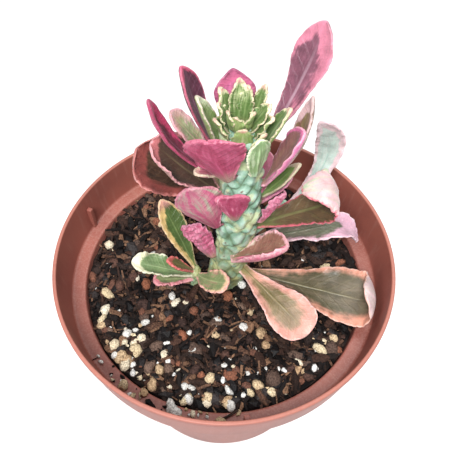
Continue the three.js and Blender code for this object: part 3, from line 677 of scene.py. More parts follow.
def piece_from(
    name: str,
    points: np.ndarray,
    faces: Faces,
    material: bpy.types.Material,
    attributes: dict[str, np.ndarray] | None = None,
) -> bpy.types.Object:
    """Make an object from points in millimetres.

    Args:
        name: The object's name.
        points: One row a point.
        faces: Corner numbers, anticlockwise from outside.
        material: The finish.
        attributes: Vectors or numbers for each point.

    Returns:
        The object, linked to the scene and smooth.
    """
    mesh = bpy.data.meshes.new(name)
    mesh.from_pydata((points * MM).tolist(), [], faces)
    for label, values in (attributes or {}).items():
        carry(mesh, label, values)
    mesh.materials.append(material)
    mesh.shade_smooth()
    mesh.update()
    return hang(name, mesh)


def carry(mesh: bpy.types.Mesh, label: str, values: np.ndarray) -> None:
    """Let a mesh carry values for its finish or its sowing to read.

    Args:
        mesh: The mesh.
        label: The attribute's name.
        values: A vector or a number for each point.
    """
    many = values.ndim == 2
    layer = mesh.attributes.new(label, "FLOAT_VECTOR" if many else "FLOAT", "POINT")
    layer.data.foreach_set("vector" if many else "value", values.astype(float).ravel())


def declare(made: bpy.types.Object, slot: str, *nodes: str) -> None:
    """Seat a finished piece on the plant's one body.

    Args:
        made: The piece.
        slot: Not used.
        nodes: The solids that it stands for.
    """
    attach(made, "root")
    if nodes:
        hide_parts(*nodes)
    LOG.info("%s: %d faces", made.name, len(made.data.polygons))


def sheet_faces(rows: int, columns: int) -> Faces:
    """Faces of a slab of two sheets, upper first, closed at all four edges.

    Args:
        rows: Points along.
        columns: Points across.

    Returns:
        The faces, pointing outwards where across is to the left of along.
    """
    faces: Faces = []
    below = rows * columns
    for i in range(rows - 1):
        for j in range(columns - 1):
            a = i * columns + j
            b = a + columns
            faces.append((a, b, b + 1, a + 1))
            faces.append((below + a, below + a + 1, below + b + 1, below + b))
        right = i * columns
        left = right + columns - 1
        faces.append((right, below + right, below + right + columns, right + columns))
        faces.append((left, left + columns, below + left + columns, below + left))
    for j in range(columns - 1):
        faces.append((j, j + 1, below + j + 1, below + j))
        end = (rows - 1) * columns + j
        faces.append((end, below + end, below + end + 1, end + 1))
    return faces


def ring(radius: float, height: float, turns: np.ndarray) -> np.ndarray:
    """A level ring of points around the pot's axis."""
    return np.stack([radius * np.cos(turns), radius * np.sin(turns), np.full_like(turns, height)], -1)


def closed_stack(foot: np.ndarray, rings: list[np.ndarray], head: np.ndarray) -> tuple[np.ndarray, Faces]:
    """Skin a stack of equal rings and close it with a fan of faces at either end.

    Args:
        foot: The first fan's middle.
        rings: The rings, each anticlockwise from above and the first one's fan facing down.
        head: The last fan's middle.

    Returns:
        The points and the faces.
    """
    around = len(rings[0])
    top = 1 + (len(rings) - 1) * around
    faces: Faces = []
    for k in range(around):
        step = (k + 1) % around
        faces.append((0, 1 + step, 1 + k))
        faces.append((top + around, top + k, top + step))
    for start in range(1, top, around):
        for k in range(around):
            a, b = start + k, start + (k + 1) % around
            faces.append((a, b, b + around, a + around))
    return np.concatenate([foot[None], *rings, head[None]]), faces


# ------------------------------------------------------------------------------ stems


@dataclass
class KnobblyStem:
    """A closed stem whose skin swells into lozenges between two crossing sets of grooves."""

    name: str
    radius: float
    top: float
    depth: float
    knobs_around: int
    row_pitch: float
    swell: float
    dip: float
    scar_mm: float
    around: int
    along: int
    seed: int
    soil: float = 86.0
    collar: float = 1.0
    turn_sway: float = 0.1
    row_sway: float = 0.36
    flatness: float = 0.5
    wrinkle: float = 0.06
    lump: float = 0.2
    end_mm: float = 2.0
    scarred_from: float = 0.72

    def axis(self, height: np.ndarray | float) -> np.ndarray:
        """Centre of the stem at a height above the soil, which each stem gives."""
        raise NotImplementedError

    def thickness(self, height: np.ndarray | float) -> np.ndarray:
        """Radius of the stem at a height above the soil."""
        return self.radius + 0 * np.asarray(height, dtype=float)

    def build(self, finish: bpy.types.Material) -> bpy.types.Object:
        """Make the knobbly skin.

        Args:
            finish: The waxy skin.

        Returns:
            The stem.
        """
        heights = np.linspace(-self.depth, self.top, self.along + 1)
        turns = np.linspace(0, TURN, self.around, endpoint=False)
        rise, turn = np.meshgrid(heights, turns, indexing="ij")
        east, north = np.cos(turn), np.sin(turn)
        swayed_turn = turn + self.turn_sway * ripple(self.seed, rise / 11, east * 0.8, north * 0.8)
        swayed_rise = rise + self.row_sway * self.row_pitch * ripple(self.seed + 1, rise / 13, east, north)
        climb = np.pi * (swayed_rise - self.collar) / self.row_pitch
        first = self.knobs_around * swayed_turn + climb
        second = self.knobs_around * swayed_turn - climb
        pillow = (np.abs(np.cos(first / 2)) * np.abs(np.cos(second / 2))) ** self.flatness
        first, second = first / TURN, second / TURN
        first_knob, second_knob = np.round(first), np.round(second)
        uneven = np.sin((first_knob * 13.7 + second_knob * 7.3) * 12.9898 + self.seed) * 0.5 + 0.5

        grown = smooth(rise, self.collar - 1.0, self.collar + 1.5)
        fine = ripple(self.seed + 2, rise / 2.2, east * 3, north * 3, waves=9)
        loose = ripple(self.seed + 3, rise / 4.5, east * 1.6, north * 1.6, waves=9)
        skin = self.swell * (pillow * (0.5 + 0.65 * uneven) + self.lump * loose)
        skin = skin - self.dip + self.wrinkle * fine
        ends = smooth(rise, self.top, self.top - self.end_mm)
        radius = (self.thickness(rise) + skin * grown) * (0.55 + 0.45 * ends)
        centre = self.axis(np.maximum(rise, 0.0))
        x, y = centre[..., 0] + radius * east, centre[..., 1] + radius * north
        points = np.stack([x, y, self.soil + rise], -1)

        # a scar sits a little above the middle of each knob that lost its leaf
        up = ((first - first_knob) - (second - second_knob) - 0.28) * self.row_pitch
        across = (first - first_knob) + (second - second_knob)
        sideways = across * np.pi * self.thickness(rise) / self.knobs_around
        scarred = 1 - smooth(np.hypot(up, sideways), self.scar_mm * 0.4, self.scar_mm * 1.2)
        knob = np.stack([pillow, scarred * (uneven > self.scarred_from) * grown, rise], -1)
        whole, faces = closed_stack(points[0].mean(0), list(points), points[-1].mean(0) + [0, 0, 0.6])
        ends_knob = np.array([[0.5, 0, heights[0]], [0.8, 0, heights[-1]]])
        values = np.concatenate([ends_knob[:1], knob.reshape(-1, 3), ends_knob[1:]])
        return piece_from(f"{self.name}_skin", whole, faces, finish, {"knob": values})


@dataclass
class UprightStem(KnobblyStem):
    """The leaning main stem."""

    name: str = "stem"
    radius: float = 7.0
    top: float = 78.5
    depth: float = 24.0
    knobs_around: int = 6
    row_pitch: float = 3.9
    swell: float = 1.2
    dip: float = 0.6
    scar_mm: float = 0.55
    around: int = 128
    along: int = 330
    seed: int = 5
    reach: float = 80.0
    shoulder: float = 55.0
    shrink: float = 1.6
    foot_x: float = 0.5
    lean: tuple[float, float] = (4.5, 4.0)

    def axis(self, height: np.ndarray | float) -> np.ndarray:
        """Centre of the stem at a height above the soil.

        Args:
            height: One or more heights.

        Returns:
            The centre at each height.
        """
        share = np.asarray(height, dtype=float) / self.reach
        x = self.foot_x + self.lean[0] * np.sin(np.pi * 0.75 * share)
        return np.stack([x, self.lean[1] * share * share, self.soil + share * self.reach], -1)

    def thickness(self, height: np.ndarray | float) -> np.ndarray:
        """Radius of the stem at a height above the soil."""
        above = (np.asarray(height, dtype=float) - self.shoulder) / (self.reach - self.shoulder)
        return self.radius - self.shrink * np.maximum(0, above)


@dataclass
class SideShoot(KnobblyStem):
    """The small shoot beside the stem."""

    name: str = "side_shoot"
    radius: float = 2.1
    top: float = 7.4
    depth: float = 9.0
    knobs_around: int = 5
    row_pitch: float = 1.5
    swell: float = 0.5
    dip: float = 0.3
    scar_mm: float = 0.25
    around: int = 60
    along: int = 70
    seed: int = 9
    foot: tuple[float, float] = (-12.0, -3.0)
    tip: tuple[float, float] = (-11.0, -1.0)
    reach: float = 7.0

    def axis(self, height: np.ndarray | float) -> np.ndarray:
        """Centre of the shoot at a height above the soil.

        Args:
            height: One or more heights.

        Returns:
            The centre at each height.
        """
        rise = np.asarray(height, dtype=float)
        share = rise / self.reach
        x, y = (low + (high - low) * share for low, high in zip(self.foot, self.tip))
        return np.stack([x, y, self.soil + rise], -1)


# ------------------------------------------------------------------------------ blades

# shares of a blade's length
OPEN_BY, TEETH_FROM, TEETH_TO, LAST_TOOTH, TIP_EDGE = 0.35, 0.16, 0.4, 0.985, 0.03
# shares of its half width
TOOTH_ZONE, THIN_EDGE, NARROWEST = 0.62, 0.12, 0.03
# waves along its margin, and how much closer rows and columns lie near the tip and the margin
WAVES, CROWDING = 2.6, 1.25
SPINE_STEPS, BEND_STEPS, RIM_STEPS = 240, 16, 90
KEEL_MM, KEEL_HALF_MM, SUNK = 0.35, 0.7, 0.4


class Bearer(Enum):
    """What a leaf grows from."""

    STEM = "stem"
    SHOOT = "shoot"


@dataclass(frozen=True)
class Blade:
    """One leaf: its place, its form and its finish. Lengths in millimetres, angles in degrees."""

    name: str
    at: tuple[float, float]
    size: tuple[float, float]
    slot: str
    finish: str
    rise: float = 0.0
    bend: float = 0.0
    hook: float = 0.0
    hook_at: float = 0.7
    aim: float = 0.0
    swerve: float = 0.0
    roll: float = 0.0
    twist: float = 0.0
    cup: tuple[float, float] = (20.0, 20.0)
    fold: float = 1.0
    broad: float = 0.66
    neck: float = 1.2
    root: float = 0.25
    tip: float = 0.2
    wave: float = 0.0
    out: float = 0.0
    thick: float = 1.2
    nip: float = 0.28
    teeth_per_cm: float = 3.6
    frill: float = 0.25
    crinkle: float = 0.0
    bearer: Bearer = Bearer.STEM

    def half_width(self, run: np.ndarray) -> np.ndarray:
        """Half the width at each share of the length.

        Args:
            run: Shares of the length.

        Returns:
            The half widths.
        """
        grown = np.clip(run / self.broad, 0, 1) ** self.neck
        widening = self.root + (1 - self.root) * np.sin(np.pi / 2 * grown)
        past = np.clip((run - self.broad) / (1 - self.broad), 0, 1)
        closing = np.maximum(0, 1 - past ** (2.2 - 0.6 * self.tip)) ** (0.5 + 0.35 * self.tip)
        return self.size[1] / 2 * np.maximum(np.where(run < self.broad, widening, closing), NARROWEST)

    def frames(self, run: np.ndarray) -> tuple[np.ndarray, np.ndarray, np.ndarray]:
        """Directions of the blade at each share of the length.

        Args:
            run: Shares of the length.

        Returns:
            The directions along, across and out of its face.
        """
        curl = self.hook * smooth((run - self.hook_at) / (1 - self.hook_at))
        slope = np.radians(self.rise + self.bend * run + curl)
        heading = np.radians(self.at[1] + self.aim + self.swerve * run)
        level = np.cos(slope)
        along = np.stack([level * np.cos(heading), level * np.sin(heading), np.sin(slope)], -1)
        flat = np.stack([-np.sin(heading), np.cos(heading), 0 * heading], -1)
        tilt = np.radians(self.roll + self.twist * run)[:, None]
        across = flat * np.cos(tilt) + np.cross(along, flat) * np.sin(tilt)
        return along, across, np.cross(along, across)

    def spine(self, foot: np.ndarray, run: np.ndarray) -> np.ndarray:
        """The blade's middle line.

        Args:
            foot: Where it starts.
            run: Shares of the length.

        Returns:
            The place at each share.
        """
        middles = (np.arange(SPINE_STEPS) + 0.5) / SPINE_STEPS
        walked = np.cumsum(self.frames(middles)[0] * self.size[0] / SPINE_STEPS, axis=0)
        line = foot + np.concatenate([np.zeros((1, 3)), walked])
        stations = np.arange(SPINE_STEPS + 1)
        return np.stack([np.interp(run * SPINE_STEPS, stations, line[:, k]) for k in range(3)], -1)

    def section(self, side: np.ndarray, run: np.ndarray) -> tuple[np.ndarray, np.ndarray, np.ndarray]:
        """The bent cross-section.

        Args:
            side: Share of the half width at each point, negative on the right.
            run: Share of the length at each point.

        Returns:
            The steps across and out, as shares of the half width, and the lean of the face.
        """
        cup = np.where(side < 0, self.cup[0], self.cup[1])
        slope = np.radians(cup) * (0.5 + 0.5 * np.clip(run / OPEN_BY, 0, 1))
        reach = np.abs(side)
        across, out = np.zeros_like(slope), np.zeros_like(slope)
        for k in range(BEND_STEPS):
            angle = slope * ((k + 0.5) / BEND_STEPS * reach) ** self.fold
            across += np.cos(angle) * reach / BEND_STEPS
            out += np.sin(angle) * reach / BEND_STEPS
        return np.sign(side) * across, out, np.sign(side) * slope * reach**self.fold

    def unevenness(
        self, side: np.ndarray, run: np.ndarray, half: np.ndarray, seed: int
    ) -> tuple[np.ndarray, np.ndarray]:
        """How teeth, frill, waves and puckers move a point.

        Args:
            side: Share of the half width at each point.
            run: Share of the length at each point.
            half: Half width of each row.
            seed: Picks the unevenness.

        Returns:
            The steps away from the midrib and out of the face.
        """
        length, width = self.size
        phase = self.at[1] + np.where(side > 0, 0, 2.2)
        wave = self.wave * side**2 * np.clip(run / OPEN_BY, 0, 1) * np.sin(2 * np.pi * WAVES * run + phase)
        edge_zone = smooth(np.abs(side), TOOTH_ZONE, 1.0)
        hand = np.where(side > 0, 0.0, 0.37)
        tooth = length * self.teeth_per_cm / 10 * (run**1.15) + hand
        tooth = tooth + 0.25 * ripple(seed + 3, run * 4 + hand * 9)
        scallop = np.abs(np.sin(np.pi * tooth)) ** 0.7 - 0.62
        open_blade = smooth(run, TEETH_FROM, TEETH_TO)
        pinch = self.nip * scallop * open_blade * (1 - smooth(run, LAST_TOOTH, 1.0))
        frill = self.frill * np.sin(2 * np.pi * tooth * 0.5 + 1.3) * open_blade
        loose = ripple(seed + 4, run * length / 11, side * width / 18 + hand)
        frill = (frill + 0.35 * self.frill * loose + 0.25 * self.wave * loose * open_blade) * edge_zone
        puckers = ripple(seed + 5, run * length / 2.3, side * half / 2.1, waves=11)
        swell = ripple(seed + 6, run * length / 9, side * half / 6)
        relief = self.crinkle * puckers * open_blade + 0.10 * swell * open_blade
        return pinch * edge_zone, wave + frill + relief

    def from_margin(self, side: np.ndarray, run: np.ndarray, half: np.ndarray) -> np.ndarray:
        """Distance to the margin over the flattened blade.

        Args:
            side: Share of the half width at each point.
            run: Share of the length at each point.
            half: Half width of each row.

        Returns:
            The distance at each point.
        """
        rim_run = np.linspace(0.04, 1, RIM_STEPS)
        left = np.stack([self.half_width(rim_run), rim_run * self.size[0]], -1)
        rim = np.concatenate([left, left * (-1, 1)])
        x, y = half * side, run * self.size[0]
        gaps = np.hypot(x[..., None] - rim[:, 0], y[..., None] - rim[:, 1]).min(-1)
        return np.minimum(gaps, half * (1 - np.abs(side)))

    def mesh(
        self, centre: np.ndarray, stand: float, seed: int, rows: int, columns: int
    ) -> tuple[np.ndarray, Faces, dict[str, np.ndarray]]:
        """Work out the blade.

        Args:
            centre: Centre of the stem where the leaf grows.
            stand: Distance from there to the start of the blade.
            seed: Picks the unevenness.
            rows: Stations along.
            columns: Points across.

        Returns:
            Points, faces, and the attributes "blade" and "reach".
        """
        azimuth = math.radians(self.at[1])
        radial = np.array([math.cos(azimuth), math.sin(azimuth), 0.0])
        run = 1 - (1 - np.linspace(0, 1, rows)) ** CROWDING
        side = np.linspace(-1, 1, columns)
        side = np.sign(side) * (1 - (1 - np.abs(side)) ** CROWDING)
        half = self.half_width(run)[:, None]
        spots = self.spine(centre + radial * (stand + self.out), run)[:, None, :]
        across, out = (way[:, None, :] for way in self.frames(run)[1:])

        run, side = np.meshgrid(run, side, indexing="ij")
        x, y, lean = self.section(side, run)
        teeth, lift = self.unevenness(side, run, half, seed)
        wide = half * x + np.sign(side) * teeth
        high = half * y + lift
        middle = spots + across * wide[..., None] + out * high[..., None]
        face = out * np.cos(lean)[..., None] - across * np.sin(lean)[..., None]
        taper = np.minimum((1 - np.abs(side)) / THIN_EDGE, (1 - run) / TIP_EDGE)
        taper = np.sqrt(np.clip(taper, 0, 1)) * 0.75 + 0.25
        depth = self.thick / 2 * (1 - 0.4 * side**2) * taper
        keel = KEEL_MM * np.exp(-((side * half / KEEL_HALF_MM) ** 2)) * (1 - smooth(run, 0.3, 0.9))

        # the root is sunk, level and inside the stem
        level = np.array([-radial[1], radial[0], 0.0])
        sunk = centre + radial * (stand + self.out) * SUNK
        root = sunk + np.outer(x[0] * self.size[1] / 2 * self.root, level)
        up = np.array([0, 0, self.thick / 2])
        upper = np.concatenate([(root + up)[None], middle + face * depth[..., None]])
        lower = np.concatenate([(root - up)[None], middle - face * (depth + keel)[..., None]])
        points = np.concatenate([upper.reshape(-1, 3), lower.reshape(-1, 3)])

        edge = self.from_margin(side, run, half) - np.minimum(0, teeth) * 0.3
        in_middle = half * np.abs(side)
        under = np.repeat([0.0, 1.0], (rows + 1) * columns)
        blade = np.stack([self.both_faces(run, run[0]), self.both_faces(side, side[0]), under], -1)
        from_rib = self.both_faces(in_middle, 0 * in_middle[0])
        reach = np.stack([self.both_faces(edge, edge[0]), from_rib, 0 * under], -1)
        return points, sheet_faces(rows + 1, columns), {"blade": blade, "reach": reach}

    @staticmethod
    def both_faces(values: np.ndarray, root: np.ndarray) -> np.ndarray:
        """Put the root's row before a grid of values and repeat all for the lower face."""
        whole = np.concatenate([root[None], values]).ravel()
        return np.concatenate([whole, whole])


SHOOT = Bearer.SHOOT

LEAVES: tuple[Blade, ...] = (
    # upper whorl
    Blade("leaf_top_01", (66, 40), (44, 13.5), "leaf_maroon", "mauve_paddle", rise=43, bend=32,
          broad=0.78, neck=2, root=0.22, tip=0.4, wave=0.5, nip=0.12, frill=0.15),
    Blade("leaf_top_02", (66, 160), (33, 10.5), "leaf_maroon", "maroon", rise=60, bend=18, cup=(50, 50),
          broad=0.72, neck=1.5, tip=0.5, nip=0.06, frill=0.05),
    Blade("leaf_top_03", (74, 102), (18, 13.5), "leaf_pink", "pink_shell", rise=62, bend=10,
          cup=(35, 35), tip=1, nip=0.1, frill=0.1),
    Blade("leaf_top_04", (70, 168), (20.5, 8.5), "leaf_green", "pale_stripe", rise=68, bend=6,
          cup=(70, 70), broad=0.55, root=0.5, tip=0.8, nip=0.12, frill=0.1),
    Blade("leaf_top_05", (64, 174), (24, 9), "leaf_cream", "cream_blotch", aim=-4, rise=50, bend=6,
          cup=(30, 30), broad=0.75, tip=0, nip=0.12, frill=0.2),
    Blade("leaf_top_06", (60, 176), (37, 7.5), "leaf_pink", "magenta_edge", rise=24, bend=64,
          cup=(60, 60), nip=0.06, frill=0.05),
    Blade("leaf_top_07", (54, 18), (38, 9), "leaf_olive", "olive_stripe", rise=42, bend=56, cup=(55, 55),
          tip=0.9, nip=0.1, frill=0.12),
    Blade("leaf_top_08", (72, 2), (17, 8), "leaf_green", "young_green", rise=62, bend=8, cup=(50, 50),
          broad=0.5, root=0.5, tip=0.8, nip=0.35, teeth_per_cm=6, frill=0.15),
    Blade("leaf_top_09", (67, -56), (16, 8.3), "leaf_cream", "mint_scale", rise=83, bend=4, cup=(5, 5),
          root=0.4, tip=0.6, out=0.2, nip=0.4, teeth_per_cm=6, frill=0.15),
    Blade("leaf_top_10", (66, -116), (17.5, 20.5), "leaf_pink", "hot_pink", aim=-65, rise=62, bend=12,
          roll=80, cup=(30, 20), broad=0.72, root=0.2, wave=0.3, out=1.4, nip=0.4, teeth_per_cm=4.5,
          frill=0.35),
    # middle whorl
    Blade("leaf_mid_01", (57, 0), (25, 14), "leaf_pink", "pink_fold", rise=58, bend=16, cup=(60, 30),
          nip=0.15),
    Blade("leaf_mid_02", (51, 172), (29, 19), "leaf_olive", "rolled_olive", rise=38, bend=12, roll=-17,
          cup=(20, 90), fold=1.6, root=0.2, wave=0.8, nip=0.5, teeth_per_cm=5),
    Blade("leaf_mid_03", (46, 160), (34, 22), "leaf_olive", "coral_olive", aim=14, rise=30, bend=10,
          roll=-18, hook=20, cup=(40, 30), broad=0.74, neck=1.9, root=0.18, wave=1, nip=0.4),
    Blade("leaf_mid_04", (63, -160), (9, 5), "leaf_pink", "blushed", rise=24, cup=(50, 50)),
    Blade("leaf_mid_05", (48, -103), (12, 12), "leaf_pink", "hot_pink", aim=-77, rise=84, roll=90,
          cup=(30, 30), broad=0.7),
    Blade("leaf_mid_06", (49.5, 10), (18, 7), "leaf_green", "leaf_green", rise=48, bend=6, cup=(40, 40),
          broad=0.5, tip=0.8, nip=0.1, frill=0.1),
    Blade("leaf_mid_07", (40, -147), (23, 17.4), "leaf_pink", "shell_streaked", aim=-28, rise=62, bend=8,
          roll=92, cup=(36, 36), broad=0.6, root=0.18, tip=0.8, out=0.8, nip=0.35, frill=0.3),
    Blade("leaf_mid_08", (45, 20), (17, 9), "leaf_pink", "crinkled_lilac", rise=42, bend=14,
          cup=(50, 50), crinkle=0.12),
    Blade("leaf_mid_09", (40.8, -20), (17, 8), "leaf_pink", "crinkled_lilac", aim=20, rise=60, bend=10,
          roll=-40, cup=(50, 50), wave=0.5, nip=0.4, crinkle=0.3),
    # lower whorl
    Blade("leaf_low_01", (35, 6), (47, 19), "leaf_olive", "olive_curl", rise=18, bend=6, hook=190,
          hook_at=0.42, cup=(24, 24), wave=0.6, nip=0.45, teeth_per_cm=4.5, frill=0.35),
    Blade("leaf_low_02", (20, 42), (76, 12), "leaf_cream", "mint_ribbon", rise=2, twist=70, hook=130,
          hook_at=0.18, cup=(30, 30), broad=0.74, neck=3, root=0.18, tip=0.6, wave=0.6, nip=0.35,
          frill=0.3),
    Blade("leaf_low_03", (25.5, 27), (18, 7.5), "leaf_green", "bright_green", rise=44, cup=(50, 50),
          tip=0.8, nip=0.08),
    Blade("leaf_low_04", (25, -92), (24, 16), "leaf_pink", "frilled_rose", aim=80, rise=34, bend=8,
          cup=(110, 40), fold=1.3, wave=0.3, nip=0.4, teeth_per_cm=4.5, frill=0.35),
    Blade("leaf_low_05", (24.5, 6), (44, 13), "leaf_lilac", "lilac_end", rise=13, hook=-70, hook_at=0.5,
          cup=(30, 30), tip=0, wave=0.9, nip=0.25, frill=0.3, crinkle=0.1),
    Blade("leaf_low_06", (19, -158), (22, 11), "leaf_lilac", "crinkled_lilac", aim=-20, rise=64, bend=6,
          roll=80, cup=(40, 40), root=0.4, wave=0.5, nip=0.35, teeth_per_cm=5, crinkle=0.4),
    Blade("leaf_low_07", (14, -46), (34, 18.5), "leaf_olive", "peach_olive", rise=-4, bend=-6, broad=0.8,
          neck=1.5, tip=0.1, wave=0.7, nip=0.25, frill=0.25),
    Blade("leaf_low_08", (6, -14), (60, 24.5), "leaf_olive", "peach_grey", rise=-1, twist=10, hook=160,
          hook_at=0.72, broad=0.76, neck=1.5, root=0.2, tip=0.15, wave=0.7, nip=0.3, frill=0.3),
    # behind the stem
    Blade("leaf_back_01", (52, 95), (26, 12), "leaf_olive", "coral_olive", rise=34, bend=10),
    Blade("leaf_back_02", (38, 122), (25, 13), "leaf_cream", "cream_blotch", rise=26, bend=10),
    Blade("leaf_back_03", (34, 68), (24, 12), "leaf_pink", "shell_streaked", rise=26, bend=12),
    Blade("leaf_back_04", (20, 100), (30, 15), "leaf_olive", "peach_olive", rise=14, bend=6, wave=0.5),
    # side shoot
    Blade("leaf_side_01", (7, 132), (31, 10.5), "leaf_green", "green_amber", rise=52, cup=(30, 30),
          root=0.2, tip=0.5, nip=0.25, bearer=SHOOT),
    Blade("leaf_side_02", (6.2, -160), (16, 6.5), "leaf_olive", "red_toothed", rise=52, cup=(30, 30),
          tip=0.8, nip=0.5, teeth_per_cm=6.5, bearer=SHOOT),
    Blade("leaf_side_03", (4, -166), (25, 12), "leaf_green", "green_cream", aim=-14, rise=20,
          cup=(30, 60), root=0.2, wave=0.6, nip=0.4, teeth_per_cm=5, frill=0.3, bearer=SHOOT),
    Blade("leaf_side_04", (4.8, -56), (20, 10), "leaf_green", "green_blush", rise=36, swerve=34, roll=20,
          cup=(30, 30), broad=0.7, wave=0.5, nip=0.5, teeth_per_cm=6, frill=0.35, bearer=SHOOT),
    Blade("leaf_side_05", (2.6, -136), (16, 8.5), "leaf_olive", "green_frill", aim=-34, rise=11,
          cup=(30, 50), broad=0.75, wave=0.5, nip=0.6, teeth_per_cm=6, frill=0.4, bearer=SHOOT),
)


@dataclass
class Foliage:
    """All the full-grown leaves."""

    stem: UprightStem
    shoot: SideShoot
    rows: int = 84
    columns: int = 33
    off_stem: float = 1.0
    off_shoot: float = 1.6
    leaves: tuple[Blade, ...] = LEAVES

    def seat(self, leaf: Blade) -> tuple[np.ndarray, float]:
        """Find where a leaf starts.

        Args:
            leaf: The leaf.

        Returns:
            The centre of what bears it, and the leaf's distance from there.
        """
        height = leaf.at[0]
        if leaf.bearer is Bearer.SHOOT:
            return self.shoot.axis(height), self.off_shoot
        return self.stem.axis(height), float(self.stem.thickness(height)) + self.off_stem

    def build(self) -> list[bpy.types.Object]:
        """Make each leaf as its own piece.

        Returns:
            The leaves.
        """
        made = []
        for number, leaf in enumerate(self.leaves):
            centre, stand = self.seat(leaf)
            points, faces, values = leaf.mesh(centre, stand, 31 * number + 7, self.rows, self.columns)
            material = LEAF_FINISHES[leaf.finish].dress(f"{leaf.name}_skin", 1.7 * number)
            piece = piece_from(f"{leaf.name}_blade", points, faces, material, values)
            declare(piece, leaf.slot, leaf.name)
            made.append(piece)
        return made


@dataclass
class Rosette:
    """The young leaves at the tip of the stem, with their buds."""

    stem: UprightStem
    rows: int = 30
    columns: int = 15
    off_stem: float = 1.0
    pattern: Blade = Blade(
        "young", (0, 0), (0, 0), "crown", "young_green", bend=8, cup=(40, 40), broad=0.5, root=0.6,
        tip=0.9, nip=0.6, teeth_per_cm=5.2, frill=0.35, thick=1.1, wave=0.25,
    )
    # height, azimuth, length, width, rise and step out of each
    young: tuple[tuple[float, float, float, float, float, float], ...] = (
        (78, 95, 15, 7, 76, -3), (79, 70, 12, 5.5, 74, -3), (77, 140, 14, 6.5, 68, -3),
        (78, 165, 10, 6, 66, -3), (76, 195, 10, 7, 60, -3), (78, 20, 10, 7, 50, -3),
        (76, 0, 10, 6, 50, -3), (75, 50, 16, 6, 60, -3), (74, -84, 9, 7, 84, -3),
        (74, -36, 9, 6, 62, -2), (80, -20, 7, 5, 70, -4), (80, -110, 6, 5, 80, -4),
        (80, 200, 7, 5, 74, -4),
    )

    def build(self) -> bpy.types.Object:
        """Make the rosette as one piece.

        Returns:
            The rosette.
        """
        all_points, all_faces = [], []
        gathered: dict[str, list[np.ndarray]] = {"blade": [], "reach": []}
        count = 0
        for number, (height, azimuth, length, width, rise, out) in enumerate(self.young):
            leaf = replace(self.pattern, at=(height, azimuth), size=(length, width), rise=rise, out=out)
            stand = float(self.stem.thickness(height)) + self.off_stem
            centre = self.stem.axis(height)
            points, faces, values = leaf.mesh(centre, stand, 500 + 13 * number, self.rows, self.columns)
            all_points.append(points)
            all_faces += [tuple(k + count for k in face) for face in faces]
            for label, value in values.items():
                gathered[label].append(value)
            count += len(points)
        material = LEAF_FINISHES[self.pattern.finish].dress("young_leaf_skin", 3.3)
        attributes = {label: np.concatenate(values) for label, values in gathered.items()}
        piece = piece_from("crown_rosette", np.concatenate(all_points), all_faces, material, attributes)
        declare(piece, "crown", "crown")
        return piece


# ------------------------------------------------------------------------------ pot


